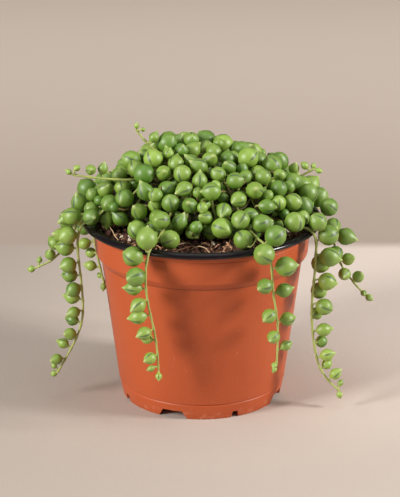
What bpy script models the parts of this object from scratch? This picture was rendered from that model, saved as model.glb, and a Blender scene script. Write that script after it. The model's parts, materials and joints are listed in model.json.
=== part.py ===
"""A string of pearls plant in its nursery pot, 110 mm across the rim.

The pot is one moulded sheet in two colours: a terracotta outer layer and a black inner layer whose
top is turned out as the rim. It is filled with potting mix. A heap of old growth sits on the mix,
younger stems creep over the heap, and eleven of them trail over the rim. Metres, +Z up, origin at
the middle of the pot's foot, -Y towards the front of the plant.
"""

import math
import random

import bmesh
import bpy
from mathutils import Matrix, Vector
from mathutils.geometry import intersect_point_line
from mathutils.kdtree import KDTree

# The pot: radii and heights of its outer layer from the foot up, then of the rim
FOOT_RADIUS = 0.0369
FOOT_WIDTH = 0.0020
GROOVE = (0.0379, 0.0074)
GROOVE_DEPTH = 0.0004
BODY_BASE = (0.03865, 0.0078)
BODY_TOP = (0.0461, 0.0662)
BAND_BASE = (0.0487, 0.0695)
BAND_TOP = (0.0495, 0.0799)
LEDGE = (0.0499, 0.0817)
SLEEVE_TOP = 0.0832
RIM_RADIUS = 0.0550
RIM_TOP = 0.0862
RECESS = 0.0039
FLOOR = 0.0010
WALL = 0.0008
BASE_WALL = 0.0014
SKIN_GAP = 0.0003
SIDES = 32
SHARP_ANGLE = math.radians(40)

# The rim's lip from its underside outwards, back over and down to the step inside it: in from its
# edge, and down from its top
LIP = ((0.0016, 0.0026), (0.0006, 0.0029), (0.0, 0.0019), (0.0008, 0.0006), (0.0021, 0.0),
       (0.0034, 0.0005), (0.0040, 0.0013), (0.0070, 0.0026))
LIP_UNDERSIDE = 0.0021

# Notches round the foot, wide and narrow in turn: half widths at the bottom and top, and height
NOTCH_COUNT = 8
FIRST_NOTCH = math.radians(-111)
WIDE_NOTCH = (0.0090, 0.0047, 0.0038)
NARROW_NOTCH = (0.0026, 0.0012, 0.0031)
NOTCH_DEPTH = 0.0032

# Drain holes through the floor
DRAIN_COUNT = 6
DRAIN_RADIUS = 0.0019
DRAIN_CIRCLE = 0.0270
DRAIN_SIDES = 6

# The potting mix
MIX_TOP = 0.0822
MIX_EDGE_DROP = 0.0020
MIX_LUMP = 0.0009
MIX_RINGS = 5

# Waves that make the mix lumpy: turns round the pot, radians per metre outwards, start, and share
MIX_WAVES = ((5, 40, 0.0, 1.0), (11, 0, 1.3, 0.6), (3, 230, 0.0, 0.7))

# The heap of old growth: half sizes of a rounded mound, cut flat below. Its power is 2 for an ellipsoid
# and less for flatter sides, and its top leans to the left by this much for each metre of height. It is
# sunken at its left shoulder, by this share at most, in azimuth and degrees from straight up, and over
# so many degrees round that place. Its core stands back inside it by the inset.
HEAP_CENTRE = Vector((0.0, 0.007, 0.092))
HEAP_HALF = Vector((0.0442, 0.0345, 0.0170))
HEAP_POWER = 1.75
HEAP_LEAN = 0.30
HEAP_DENT = 0.15
DENT_PLACE = (165, 68)
DENT_REACH = 45
CORE_INSET = 0.0007
HEAP_BELOW = 0.0140
HEAP_BASE = 0.0826
HEAP_BANDS = 9
HEAP_SIDES = 20
HEAP_EDGE = 84

# Stems, and the plain holes in the heap that they stand in
STEM_RADIUS = 0.0007
STEM_LIFT = 0.0016
CREEPING_INTERNODE = 0.0061
HANGING_INTERNODE = 0.0063
SHORTEST_STEM = 2
BENDS_AT = (0.3, 0.5, 0.7)
ROOT_DEPTH = 0.0045
HOLE_RADIUS = 0.0015
HOLE_SIDES = 4

# Leaves: radii from a stem's first to its last, the stalk, the gap kept round each, and how far each
# leans from straight out, in degrees
CREEPER_LEAVES = (0.0048, 0.0044)
TRAIL_LEAVES = (0.0046, 0.0026)
LAST_LEAF = 0.6
PETIOLE = 0.0016
LEAF_GAP = 0.00035
TIP_REACH = 1.14
CREEPING_LEAN = (18, 62)
SIDEWAYS_LEAN = (52, 92)
FLAT_LEAN = (74, 94)
OUTWARD_LEAN = (8, 34)
UPRIGHT_LEAN = (0, 22)
FRONT_LEAN = 0.45
ALONG_STEM = (-0.2, 0.3)
SIZE_VARIES = (0.9, 1.1)
LEAST_SHARE = 0.66

# A leaf is a ball of few sides, whose collar is the ring that its stalk widens to
LEAF_SIDES = 5
LEAF_BANDS = 3
COLLAR_HEIGHT = 0.5
COLLAR_WIDTH = 0.87
STALK_STEPS = (0.2, 0.4, 0.6, 0.8)

# Leaves of the old growth: radii, how far each stands out of the heap, how wide its stalk is beside it,
# and how far down the heap's side they grow, where 1 is its middle and 2 is its underside
BED_TRIES = 250
BED_SIZES = (0.0017, 0.0042)
BED_STANDS = (0.6, 0.25, -0.1)
BED_CROWDING = 0.85
BED_ROOT = 0.0030
BED_STALK = 0.3
BED_LEAN = 0.5
BED_REACH = 1.35

# Settling: how many rounds, and how much of each push or pull is made in one round
SEED = 29
SETTLE_ROUNDS = 140
LEAF_PUSH = 0.4
LEAF_OFF_STEM = 0.5
STEM_OFF_LEAF = 0.3
OFF_HEAP = 0.6
STEM_PUSH = 0.6
STRETCH_OF_NEXT = 0.6
STRETCH_OF_LAST = 0.3
STEM_SMOOTHING = 0.08
STEM_RETURN = 0.06
LEAF_RETURN = 0.05
STALK_PULL = 0.7
STEM_REACH = 0.0042

# Where a hanging stem crosses the rim, as radius and height
OVER_RIM = ((0.0455, 0.0880), (0.0520, 0.0884), (0.0564, 0.0864))

# What stems and leaves lie against round the pot, in cross-section: each is a line from one radius
# and height to another, and how far its surface stands off it. The first is the rim.
POT_SURFACES = (
    ((0.0516, 0.0820), (0.0513, 0.0812), 0.0042),
    (BAND_TOP, BAND_BASE, 0.0002),
    (BAND_BASE, BODY_TOP, 0.0002),
    (BODY_TOP, BODY_BASE, 0.0002),
)
MIX_RADIUS = 0.0478

# Stems that trail over the rim: name, start on the heap in degrees, points below the rim in
# millimetres, the side of the leaves, and how far they lean to it. The first seven follow the photo,
# the last four are guessed.
TRAILS = (
    ("trail_front_left", 44,
     ((-24.5, -53.8, 80), (-24.5, -53.8, 68), (-22.5, -53.8, 58), (-20, -53.4, 46), (-19, -53.4, 30)), 1,
     SIDEWAYS_LEAN),
    ("trail_front_right", 40,
     ((30.5, -50, 80), (31, -50, 67), (33.5, -50, 53), (33.5, -50, 42), (33, -50, 31)), 0, SIDEWAYS_LEAN),
    ("trail_right", 52,
     ((51, -25, 80), (51, -25, 69), (49.5, -25, 52), (50.5, -25, 34), (54, -25, 18), (62, -25, 10)), -1,
     SIDEWAYS_LEAN),
    ("trail_right_outer", 60, ((59, -4, 81), (61, -4, 70), (65, -4, 60), (77.5, -4, 45.5)), 1, SIDEWAYS_LEAN),
    ("trail_left_long", 52,
     ((-56.5, -14, 81), (-56, -14, 70), (-54.5, -14, 55), (-55, -14, 36), (-68, -14, 11)), 0, OUTWARD_LEAN),
    ("trail_left_outer", 62, ((-58, -2, 79), (-66, -4, 66), (-76, -5, 62)), 0, OUTWARD_LEAN),
    ("trail_left_back", 54, ((-53, 23, 80), (-51, 23, 68), (-49, 23, 56), (-46.5, 23, 45)), 0, OUTWARD_LEAN),
    ("trail_back_left", 56, ((-37, 44.5, 80), (-36, 44.5, 64), (-33, 45, 44), (-33, 45, 28)), 0, SIDEWAYS_LEAN),
    ("trail_back", 50, ((-20, 53, 80), (-19, 53, 60), (-15, 53, 38), (-17, 52, 26)), 0, FLAT_LEAN),
    ("trail_back_right", 54, ((24, 52, 80), (24, 52, 62), (27, 51, 36)), 0, FLAT_LEAN),
    ("trail_right_back", 58, ((46, 35, 80), (45, 36, 64)), 1, SIDEWAYS_LEAN),
)

# Shoots that stand clear of the heap: name, where each starts on the heap in degrees, the points
# after it in millimetres, the first node with a leaf, and the sizes of the first and last leaf
SHOOTS = (
    ("shoot_left", (-144, 52),
     ((-33, -14, 103.5), (-42, -15, 107.5), (-52, -15, 108.5), (-57, -15, 109.5)), 5, (0.0030, 0.0026)),
    ("shoot_top", (178, 28), ((-22.5, 8, 113.5), (-27.5, 8, 120.5), (-30.5, 8, 125)), 3, (0.0026, 0.0018)),
    ("shoot_right", (4, 80), ((46.5, 10, 100.5), (53.5, 10, 107.5)), 1, (0.0027, 0.0034)),
)

# Creeping stems: azimuth, and where each starts and ends on the heap, all in degrees
CREEPERS = (
    (20, 10, 70), (78, 12, 96), (130, 10, 70), (185, 12, 72), (-128, 8, 70), (-88, 16, 74), (-50, 8, 70),
    (48, 40, 98), (92, 52, 98), (118, 42, 98), (-150, 44, 100), (-33, 46, 100),
    (-138, 68, 112), (-101, 60, 114), (-78, 60, 114), (-46, 70, 112),
)
CREEPER_SWIRL = 5
CREEPER_POINTS = 6


def towards(azimuth, polar):
    """The unit direction at these angles in degrees, where polar 0 is straight up."""
    a = math.radians(azimuth)
    p = math.radians(polar)
    return Vector((math.cos(a) * math.sin(p), math.sin(a) * math.sin(p), math.cos(p)))


def heap_share(point, grow=0.0):
    """1 on the heap's surface moved out by grow, less inside it, more outside."""
    offset = point - HEAP_CENTRE
    half_z = HEAP_HALF.z if offset.z > 0 else HEAP_BELOW
    x = offset.x + HEAP_LEAN * max(0, offset.z)
    out = math.hypot(x / (HEAP_HALF.x + grow), offset.y / (HEAP_HALF.y + grow))
    share = (out**HEAP_POWER + abs(offset.z / (half_z + grow))**HEAP_POWER)**(1 / HEAP_POWER)
    away = math.degrees(offset.angle(towards(*DENT_PLACE), 0)) / DENT_REACH
    return share / (1 - HEAP_DENT * math.cos(min(1, away) * math.pi / 2)**2)


def on_heap(direction, grow=0.0):
    """The point on the heap's grown surface in this direction from its centre."""
    return HEAP_CENTRE + direction / heap_share(HEAP_CENTRE + direction, grow)


class Leaf:
    """One round leaf: a bead on a short stalk from a stem's node."""

    def __init__(self, node, centre, radius, spin):
        self.node = node
        self.centre = centre
        self.home = centre.copy()
        self.radius = radius
        self.full_radius = radius
        self.spin = spin
        self.tip = TIP_REACH


class Strand:
    """One leafy stem: its nodes, an internode apart, and its leaves."""

    def __init__(self, name, route, internode, hanging_from, on_mound):
        self.name = name
        self.internode = internode
        self.nodes = route
        self.home = [p.copy() for p in route]
        self.hanging_from = hanging_from
        self.on_mound = on_mound
        self.leaves = []
        self.root = route[0]


def smooth_route(points, internode):
    """Points an internode apart along a Catmull-Rom curve through the given ones."""
    ends = [points[0] * 2 - points[1], *points, points[-1] * 2 - points[-2]]
    steps = 12
    fine = []
    for a, b, c, d in zip(ends, ends[1:], ends[2:], ends[3:]):
        for i in range(steps):
            t = i / steps
            bend = (2 * a - 5 * b + 4 * c - d) * t**2 + (3 * b - a - 3 * c + d) * t**3
            fine.append(b + ((c - a) * t + bend) / 2)
    fine.append(points[-1])
    route = [fine[0].copy()]
    for point in fine[1:]:
        while (point - route[-1]).length >= internode:
            route.append(route[-1].lerp(point, internode / (point - route[-1]).length))
    return route


def creeping_route(azimuth, polar_start, polar_end, swirl):
    """Down the heap's side, from near its top towards the mix."""
    points = []
    for i in range(CREEPER_POINTS):
        t = i / (CREEPER_POINTS - 1)
        polar = polar_start + (polar_end - polar_start) * t
        points.append(on_heap(towards(azimuth + swirl * math.sin(t * math.pi), polar), STEM_LIFT))
    return smooth_route(points, CREEPING_INTERNODE)


def hanging_route(polar_start, below_rim):
    """From the heap over the rim, then through the given points in millimetres."""
    hanging = [Vector(p) / 1000 for p in below_rim]
    out = Vector((hanging[0].x, hanging[0].y, 0)).normalized()
    rim = [out * r + Vector((0, 0, z)) for r, z in OVER_RIM]
    to_rim = rim[0] - HEAP_CENTRE
    azimuth = math.degrees(math.atan2(to_rim.y, to_rim.x))
    polars = (polar_start, (polar_start + HEAP_EDGE) / 2, HEAP_EDGE)
    on_top = [on_heap(towards(azimuth, polar), STEM_LIFT) for polar in polars]
    return smooth_route(on_top + rim + hanging, HANGING_INTERNODE)


def add_leaves(strand, random_source, sizes, side, first, leans, up=None):
    """Leaves at every node, to both sides in turn, or to one side where side is -1 or 1.

    They lean over from straight out, by so much before the stem hangs and by so much after it. On one
    side, the leaf that lies on the rim faces further out than the next, and so on in turn.
    """
    big, small = sizes
    count = len(strand.nodes)
    for i in range(first, count):
        before = min(i, count - 2)
        ahead = (strand.nodes[before + 1] - strand.nodes[before]).normalized()
        hanging = i >= strand.hanging_from
        out = up or (strand.nodes[i] - HEAP_CENTRE)
        if hanging:
            out = Vector((strand.nodes[i].x, strand.nodes[i].y, 0))
        out = (out - ahead * out.dot(ahead)).normalized()
        across = ahead.cross(out)
        turn = side or (1 if i % 2 else -1)
        lean = math.radians(random_source.uniform(*leans[hanging]))
        past_rim = i + 1 - strand.hanging_from
        if side and past_rim >= 0 and past_rim % 2 == 0:
            lean *= FRONT_LEAN
        start = strand.hanging_from if strand.hanging_from < count else first
        t = max(0, i - start) / max(1, count - 1 - start)
        radius = (big + (small - big) * t) * random_source.uniform(*SIZE_VARIES)
        if i == count - 1 and not strand.on_mound:
            radius *= LAST_LEAF
        direction = out * math.cos(lean) + across * turn * math.sin(lean)
        direction += ahead * random_source.uniform(*ALONG_STEM)
        centre = strand.nodes[i] + direction.normalized() * (radius + PETIOLE)
        strand.leaves.append(Leaf(i, centre, radius, random_source.uniform(0, math.tau)))


def grow():
    """Every leafy stem, before it settles."""
    random_source = random.Random(SEED)
    strands = []
    for name, start, below_rim, side, lean in TRAILS:
        route = hanging_route(start, below_rim)
        over = next(i for i, p in enumerate(route) if math.hypot(p.x, p.y) > RIM_RADIUS)
        strand = Strand(name, route, HANGING_INTERNODE, over, False)
        add_leaves(strand, random_source, TRAIL_LEAVES, side, 1, (CREEPING_LEAN, lean))
        strands.append(strand)
    for name, (azimuth, polar), points, first, sizes in SHOOTS:
        start = on_heap(towards(azimuth, polar), STEM_LIFT)
        route = smooth_route([start, *[Vector(p) / 1000 for p in points]], CREEPING_INTERNODE)
        strand = Strand(name, route, CREEPING_INTERNODE, len(route), False)
        add_leaves(strand, random_source, sizes, 0, first, (UPRIGHT_LEAN, UPRIGHT_LEAN), Vector((0, 0, 1)))
        strands.append(strand)
    for azimuth, start, end in CREEPERS:
        route = creeping_route(azimuth, start, end, random_source.uniform(-CREEPER_SWIRL, CREEPER_SWIRL))
        strand = Strand("creeper", route, CREEPING_INTERNODE, len(route), True)
        add_leaves(strand, random_source, CREEPER_LEAVES, 0, 1, (CREEPING_LEAN, CREEPING_LEAN))
        strands.append(strand)
    return strands


def clear_of_pot(point, radius):
    """The point moved so that a ball of this radius clears the mix, the rim and the pot's wall."""
    distance = math.hypot(point.x, point.y)
    if distance < MIX_RADIUS:
        point.z = max(point.z, MIX_TOP + MIX_LUMP + radius + LEAF_GAP)
    if not distance:
        return
    flat = Vector((distance, point.z, 0))
    for start, end, half in POT_SURFACES:
        near, _ = nearest_on(Vector((*start, 0)), Vector((*end, 0)), flat)
        need = radius + half + LEAF_GAP
        gap = (flat - near).length
        if 1e-9 < gap < need:
            flat = near + (flat - near) * (need / gap)
    point.x *= flat.x / distance
    point.y *= flat.x / distance
    point.z = flat.y


def clear_of_heap(point, radius):
    """The point moved out until a ball of this radius clears the heap."""
    share = heap_share(point, radius + LEAF_GAP)
    if 0 < share < 1 and point.z > HEAP_BASE:
        point += (point - HEAP_CENTRE) * (1 / share - 1) * OFF_HEAP


def nearest_on(a, b, point):
    """The point of segment a-b nearest to the given one, and how far along it lies."""
    near, share = intersect_point_line(point, a, b)
    share = max(0.0, min(1.0, share))
    return a.lerp(b, share), share


def nearest_between(a, b, c, d):
    """The nearest points of segments a-b and c-d, with the share of the way to each."""
    found = []
    for start in (0, 0.25, 0.5, 0.75, 1):
        point = c.lerp(d, start)
        for _ in range(2):
            near, share = nearest_on(a, b, point)
            point, other_share = nearest_on(c, d, near)
        found.append(((near - point).length, near, share, point, other_share))
    return min(found, key=lambda pair: pair[0])


def part_stems(s, i, other, m):
    """Pushes segment i of one stem and segment m of another apart, if they are too near."""
    gap, near, share, far, other_share = nearest_between(s.nodes[i], s.nodes[i + 1],
                                                         other.nodes[m], other.nodes[m + 1])
    need = STEM_RADIUS * 2 + LEAF_GAP
    if not 1e-7 < gap < need:
        return
    push = (near - far).normalized() * (need - gap) * STEM_PUSH
    if i > 0:
        s.nodes[i] += push * (1 - share)
    s.nodes[i + 1] += push * share
    if m > 0:
        other.nodes[m] -= push * (1 - other_share)
    other.nodes[m + 1] -= push * other_share


def tree_of(points):
    tree = KDTree(len(points))
    for k, point in enumerate(points):
        tree.insert(point, k)
    tree.balance()
    return tree


def relax_stem(s):
    """Keeps the stem's internodes at their length and its line smooth and near its own route."""
    for i in range(1, len(s.nodes)):
        a, b = s.nodes[i - 1], s.nodes[i]
        stretch = (b - a) * (1 - s.internode / (b - a).length)
        s.nodes[i] = b - stretch * STRETCH_OF_NEXT
        if i > 1:
            s.nodes[i - 1] = a + stretch * STRETCH_OF_LAST
    for i in range(1, len(s.nodes) - 1):
        middle = (s.nodes[i - 1] + s.nodes[i + 1]) / 2
        s.nodes[i] = s.nodes[i].lerp(middle, STEM_SMOOTHING).lerp(s.home[i], STEM_RETURN)


def part_leaves(leaves):
    """Leaves that press together push each other apart."""
    tree = tree_of([leaf.centre for _, leaf in leaves])
    widest = max(leaf.radius for _, leaf in leaves)
    for k, (_, leaf) in enumerate(leaves):
        for _, j, _ in tree.find_range(leaf.centre, leaf.radius + widest + LEAF_GAP):
            if j <= k:
                continue
            other = leaves[j][1]
            away = leaf.centre - other.centre
            need = leaf.radius + other.radius + LEAF_GAP
            if 0 < away.length < need:
                push = away.normalized() * (need - away.length) * LEAF_PUSH
                leaf.centre += push
                other.centre -= push


def part_from_stems(leaves, runs):
    """Leaves and stems push each other apart, then stems push other stems."""
    tree = tree_of([(s.nodes[i] + s.nodes[i + 1]) / 2 for s, i in runs])
    for s, leaf in leaves:
        for _, k, _ in tree.find_range(leaf.centre, leaf.radius + STEM_REACH):
            owner, i = runs[k]
            if owner is s and i in (leaf.node, leaf.node - 1):
                continue
            near, share = nearest_on(owner.nodes[i], owner.nodes[i + 1], leaf.centre)
            away = leaf.centre - near
            need = leaf.radius + STEM_RADIUS + LEAF_GAP
            if 0 < away.length < need:
                push = away.normalized() * (need - away.length)
                leaf.centre += push * LEAF_OFF_STEM
                if i > 0:
                    owner.nodes[i] -= push * STEM_OFF_LEAF * (1 - share)
                owner.nodes[i + 1] -= push * STEM_OFF_LEAF * share
    for k, (s, i) in enumerate(runs):
        for _, j, _ in tree.find_range((s.nodes[i] + s.nodes[i + 1]) / 2, HANGING_INTERNODE):
            other, m = runs[j]
            if j > k and other is not s:
                part_stems(s, i, other, m)


def settle(strands):
    """Leaves push each other and the stems apart, while each stays on its stalk's length."""
    leaves = [(s, leaf) for s in strands for leaf in s.leaves]
    runs = [(s, i) for s in strands for i in range(len(s.nodes) - 1)]
    for _ in range(SETTLE_ROUNDS):
        for s in strands:
            relax_stem(s)
        part_leaves(leaves)
        part_from_stems(leaves, runs)
        for s, leaf in leaves:
            node = s.nodes[leaf.node]
            stalk = leaf.centre - node
            stretch = (leaf.radius + PETIOLE) / stalk.length - 1
            leaf.centre = node + stalk * (1 + stretch * STALK_PULL)
            if not s.on_mound and leaf.node >= s.hanging_from:
                leaf.centre = leaf.centre.lerp(leaf.home, LEAF_RETURN)
            clear_of_heap(leaf.centre, leaf.radius)
            clear_of_pot(leaf.centre, leaf.radius)
        for s in strands:
            for node in s.nodes[1:]:
                clear_of_heap(node, STEM_RADIUS)
                clear_of_pot(node, STEM_RADIUS)


def stem_runs(strand):
    """The stem's stretches as pairs of ends, from its root on, with the number of the node after each."""
    points = [strand.root, *strand.nodes]
    return [(a, b, k) for k, (a, b) in enumerate(zip(points, points[1:]))]


def cut_crossings(strands):
    """Where two stems still touch, the later one ends before it."""
    kept = []
    for s in strands:
        end = len(s.nodes)
        for other in kept:
            for a, b, k in stem_runs(s):
                for c, d, _ in stem_runs(other):
                    close = (a - c).length < HANGING_INTERNODE * 2
                    if close and nearest_between(a, b, c, d)[0] < STEM_RADIUS * 2 + LEAF_GAP / 2:
                        end = min(end, k)
        if end >= SHORTEST_STEM:
            s.nodes = s.nodes[:end]
            s.leaves = [leaf for leaf in s.leaves if leaf.node < end]
            kept.append(s)
    strands[:] = kept


def shrink_pressed(strands):
    """Leaves that still press on a leaf, a stem, the heap or the pot are made smaller."""
    leaves = [(s, leaf) for s in strands for leaf in s.leaves]
    for _ in range(3):
        for k, (_, leaf) in enumerate(leaves):
            for _, other in leaves[k + 1:]:
                room = (leaf.centre - other.centre).length - LEAF_GAP
                share = min(1, room / (leaf.radius + other.radius))
                leaf.radius *= share
                other.radius *= share
    for s, leaf in leaves:
        for owner in strands:
            for a, b, k in stem_runs(owner):
                if owner is s and k in (leaf.node, leaf.node + 1):
                    continue
                near, _ = nearest_on(a, b, leaf.centre)
                room = (leaf.centre - near).length - STEM_RADIUS - SKIN_GAP - LEAF_GAP
                leaf.radius = min(leaf.radius, room)
        leaf.radius = min(heap_room(leaf), pot_room(leaf))


def balls_of(s, leaf):
    """The leaf as balls: its bead, then its stalk, which widens from the node up to the bead's collar."""
    node = s.nodes[leaf.node]
    collar = leaf.centre.lerp(node, COLLAR_HEIGHT * leaf.radius / (leaf.centre - node).length)
    stalk = [(node.lerp(collar, t), leaf.radius * COLLAR_WIDTH * t) for t in STALK_STEPS]
    return [(leaf.centre, leaf.radius), *stalk]


def meets_stem(balls, a, b):
    return any((nearest_on(a, b, centre)[0] - centre).length < radius + STEM_RADIUS + SKIN_GAP / 2
               for centre, radius in balls)


def keep_free_leaves(strands):
    """Drops each leaf that meets another stem, or a leaf that another stem keeps."""
    kept = []
    for s in strands:
        runs = [(a, b) for other in strands if other is not s for a, b, _ in stem_runs(other)]
        free = []
        for leaf in s.leaves:
            balls = balls_of(s, leaf)
            reach = leaf.radius * 2 + PETIOLE
            near_runs = [(a, b) for a, b in runs if (a - leaf.centre).length < reach + HANGING_INTERNODE]
            near_balls = [ball for ball in kept if (ball[0] - leaf.centre).length < reach * 2]
            on_stem = any(meets_stem(balls, a, b) for a, b in near_runs)
            on_leaf = any((c - d).length < r + q for c, r in balls for d, q in near_balls)
            if not on_stem and not on_leaf:
                free.append(leaf)
        s.leaves = free
        kept += [ball for leaf in free for ball in balls_of(s, leaf)]


def blunt_tips(strands):
    """A leaf whose tip would touch another leaf or stem has none."""
    leaves = [(s, leaf) for s in strands for leaf in s.leaves]
    for s, leaf in leaves:
        tip = leaf.centre + (leaf.centre - s.nodes[leaf.node]).normalized() * leaf.radius * TIP_REACH
        for other_strand, other in leaves:
            if other is not leaf and (tip - other.centre).length < HANGING_INTERNODE * 2:
                if any((tip - c).length < r + LEAF_GAP for c, r in balls_of(other_strand, other)):
                    leaf.tip = 1.0
        for owner in strands:
            if owner is not s and any(meets_stem([(tip, STEM_RADIUS)], a, b) for a, b, _ in stem_runs(owner)):
                leaf.tip = 1.0


def heap_room(leaf):
    """How large the leaf may be before it meets the heap."""
    radius = leaf.radius
    while radius > 0 and heap_share(leaf.centre, radius + LEAF_GAP) < 1 and leaf.centre.z > HEAP_BASE:
        radius -= 0.0001
    return radius


def pot_room(leaf):
    """How large the leaf may be before it meets the pot or the mix."""
    distance = math.hypot(leaf.centre.x, leaf.centre.y)
    flat = Vector((distance, leaf.centre.z, 0))
    room = leaf.radius
    if distance < MIX_RADIUS:
        room = min(room, leaf.centre.z - MIX_TOP - MIX_LUMP - SKIN_GAP)
    for start, end, half in POT_SURFACES:
        near, _ = nearest_on(Vector((*start, 0)), Vector((*end, 0)), flat)
        room = min(room, (flat - near).length - half - SKIN_GAP)
    return room


def settle_in(strands):
    """Roots every stem in the heap, settles them all, and trims what still touches."""
    for s in strands:
        inward = (HEAP_CENTRE - s.nodes[0]).normalized()
        s.root = s.nodes[0] + inward * (STEM_LIFT + ROOT_DEPTH)
    settle(strands)
    cut_crossings(strands)
    shrink_pressed(strands)
    for s in strands:
        s.leaves = [leaf for leaf in s.leaves if leaf.radius > LEAST_SHARE * leaf.full_radius]
    keep_free_leaves(strands)
    blunt_tips(strands)
    strands[:] = [s for s in strands if len(s.leaves) > 1]
    for k, s in enumerate([s for s in strands if s.on_mound]):
        s.name = f"creeper_{k + 1}"


def material(name, colour, roughness):
    mat = bpy.data.materials.new(name)
    mat.use_nodes = True
    shader = mat.node_tree.nodes["Principled BSDF"]
    shader.inputs["Base Color"].default_value = (*colour, 1)
    shader.inputs["Roughness"].default_value = roughness
    return mat


def smooth(mesh):
    mesh.shade_smooth()
    mesh.set_sharp_from_angle(angle=SHARP_ANGLE)


def add_object(name, bm, mat=None, collection=None):
    mesh = bpy.data.meshes.new(name)
    bmesh.ops.recalc_face_normals(bm, faces=bm.faces)
    bm.to_mesh(mesh)
    bm.free()
    smooth(mesh)
    if mat:
        mesh.materials.append(mat)
    obj = bpy.data.objects.new(name, mesh)
    (collection or bpy.context.scene.collection).objects.link(obj)
    return obj


def turned(name, profile, mat, lift=None):
    """A solid turned about the pot's axis, from a profile of radius and height."""
    bm = bmesh.new()
    points = [bm.verts.new((r, 0, z)) for r, z in profile]
    edges = [bm.edges.new(pair) for pair in zip(points, points[1:])]
    bmesh.ops.spin(bm, geom=points + edges, axis=(0, 0, 1), angle=math.tau, steps=SIDES, use_merge=True)
    bmesh.ops.holes_fill(bm, edges=[edge for edge in bm.edges if edge.is_boundary])
    if lift:
        for v in bm.verts:
            v.co.z += lift(v.co)
    return add_object(name, bm, mat)


def inset(profile, by):
    """The profile moved in towards the axis, with its last point, on the floor, moved up as well."""
    moved = [(r - by, z) for r, z in profile]
    moved[-1] = (moved[-1][0], moved[-1][1] + by)
    return moved


def boolean(obj, others, operation):
    """The object joined to, or cut by, a collection of others, which are then removed."""
    modifier = obj.modifiers.new(operation.title(), "BOOLEAN")
    modifier.operation = operation
    modifier.operand_type = "COLLECTION"
    modifier.collection = others
    modifier.solver = "EXACT"
    bpy.context.view_layer.update()
    graph = bpy.context.evaluated_depsgraph_get()
    done = bpy.data.meshes.new_from_object(obj.evaluated_get(graph))
    obj.modifiers.clear()
    obj.data = done
    for other in list(others.objects):
        bpy.data.objects.remove(other)
    bpy.data.collections.remove(others)


def new_collection(name):
    collection = bpy.data.collections.new(name)
    bpy.context.scene.collection.children.link(collection)
    return collection


def turn_to(axis, spin=0.0):
    """The rotation that turns +Z to this axis, after a spin about it."""
    return axis.to_track_quat("Z", "Y").to_matrix().to_4x4() @ Matrix.Rotation(spin, 4, "Z")


def add_rod(bm, start, end, radius, sides):
    place = Matrix.Translation((start + end) / 2) @ turn_to(end - start)
    bmesh.ops.create_cone(bm, cap_ends=True, segments=sides, radius1=radius, radius2=radius,
                          depth=(end - start).length, matrix=place)


def add_bead(bm, leaf, root, axis):
    """One leaf: a ball drawn out to its root at one pole and to a short tip at the other."""
    place = Matrix.Translation(leaf.centre) @ turn_to(axis, leaf.spin)
    ball = bmesh.ops.create_uvsphere(bm, u_segments=LEAF_SIDES, v_segments=LEAF_BANDS,
                                     radius=leaf.radius, matrix=place)["verts"]
    ball.sort(key=lambda v: (v.co - leaf.centre).dot(axis))
    ball[0].co = root
    ball[-1].co = leaf.centre + axis * leaf.radius * leaf.tip


def stem_tube(name, points, mat):
    """A closed square tube through the points."""
    curve = bpy.data.curves.new(name, "CURVE")
    curve.dimensions = "3D"
    curve.bevel_depth = STEM_RADIUS
    curve.bevel_resolution = 0
    curve.use_fill_caps = True
    spline = curve.splines.new("POLY")
    spline.points.add(len(points) - 1)
    for place, point in zip(spline.points, points):
        place.co = (*point, 1)
    guide = bpy.data.objects.new(name + " line", curve)
    bm = bmesh.new()
    bm.from_mesh(guide.to_mesh())
    bmesh.ops.remove_doubles(bm, verts=bm.verts, dist=STEM_RADIUS / 100)
    bpy.data.objects.remove(guide)
    bpy.data.curves.remove(curve)
    return add_object(name, bm, mat)


def leafy_stem(strand, mat):
    """The stem with its leaves, as one body. It bends clear of the rim between its nodes too."""
    points = [strand.root, strand.nodes[0]]
    for a, b in zip(strand.nodes, strand.nodes[1:]):
        for t in BENDS_AT:
            straight = a.lerp(b, t)
            over = straight.copy()
            clear_of_pot(over, STEM_RADIUS)
            if (over - straight).length > LEAF_GAP / 4:
                points.append(over)
        points.append(b)
    last = (points[-1] - points[-2]).normalized()
    obj = stem_tube(strand.name, [*points, points[-1] + last * STEM_RADIUS], mat)
    beads = new_collection(strand.name + " leaves")
    for leaf in strand.leaves:
        bm = bmesh.new()
        root = strand.nodes[leaf.node]
        add_bead(bm, leaf, root, (leaf.centre - root).normalized())
        add_object("leaf", bm, None, beads)
    boolean(obj, beads, "UNION")
    return obj


def bed_room(leaf, young, segments, bed):
    """How large a leaf of the old growth may be at this place."""
    room = leaf.radius
    stalk = (leaf.home + leaf.centre) / 2
    for other in young:
        room = min(room, (other.centre - leaf.centre).length - other.radius * other.tip - LEAF_GAP)
    for other in bed:
        room = min(room, (other.centre - leaf.centre).length / BED_CROWDING - other.radius)
    for a, b, clear in segments:
        near, _ = nearest_on(a, b, leaf.centre)
        room = min(room, (near - leaf.centre).length - clear)
        near, _ = nearest_on(a, b, stalk)
        room = min(room, ((near - stalk).length - clear) / BED_STALK)
    return min(room, pot_room(leaf))


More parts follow.
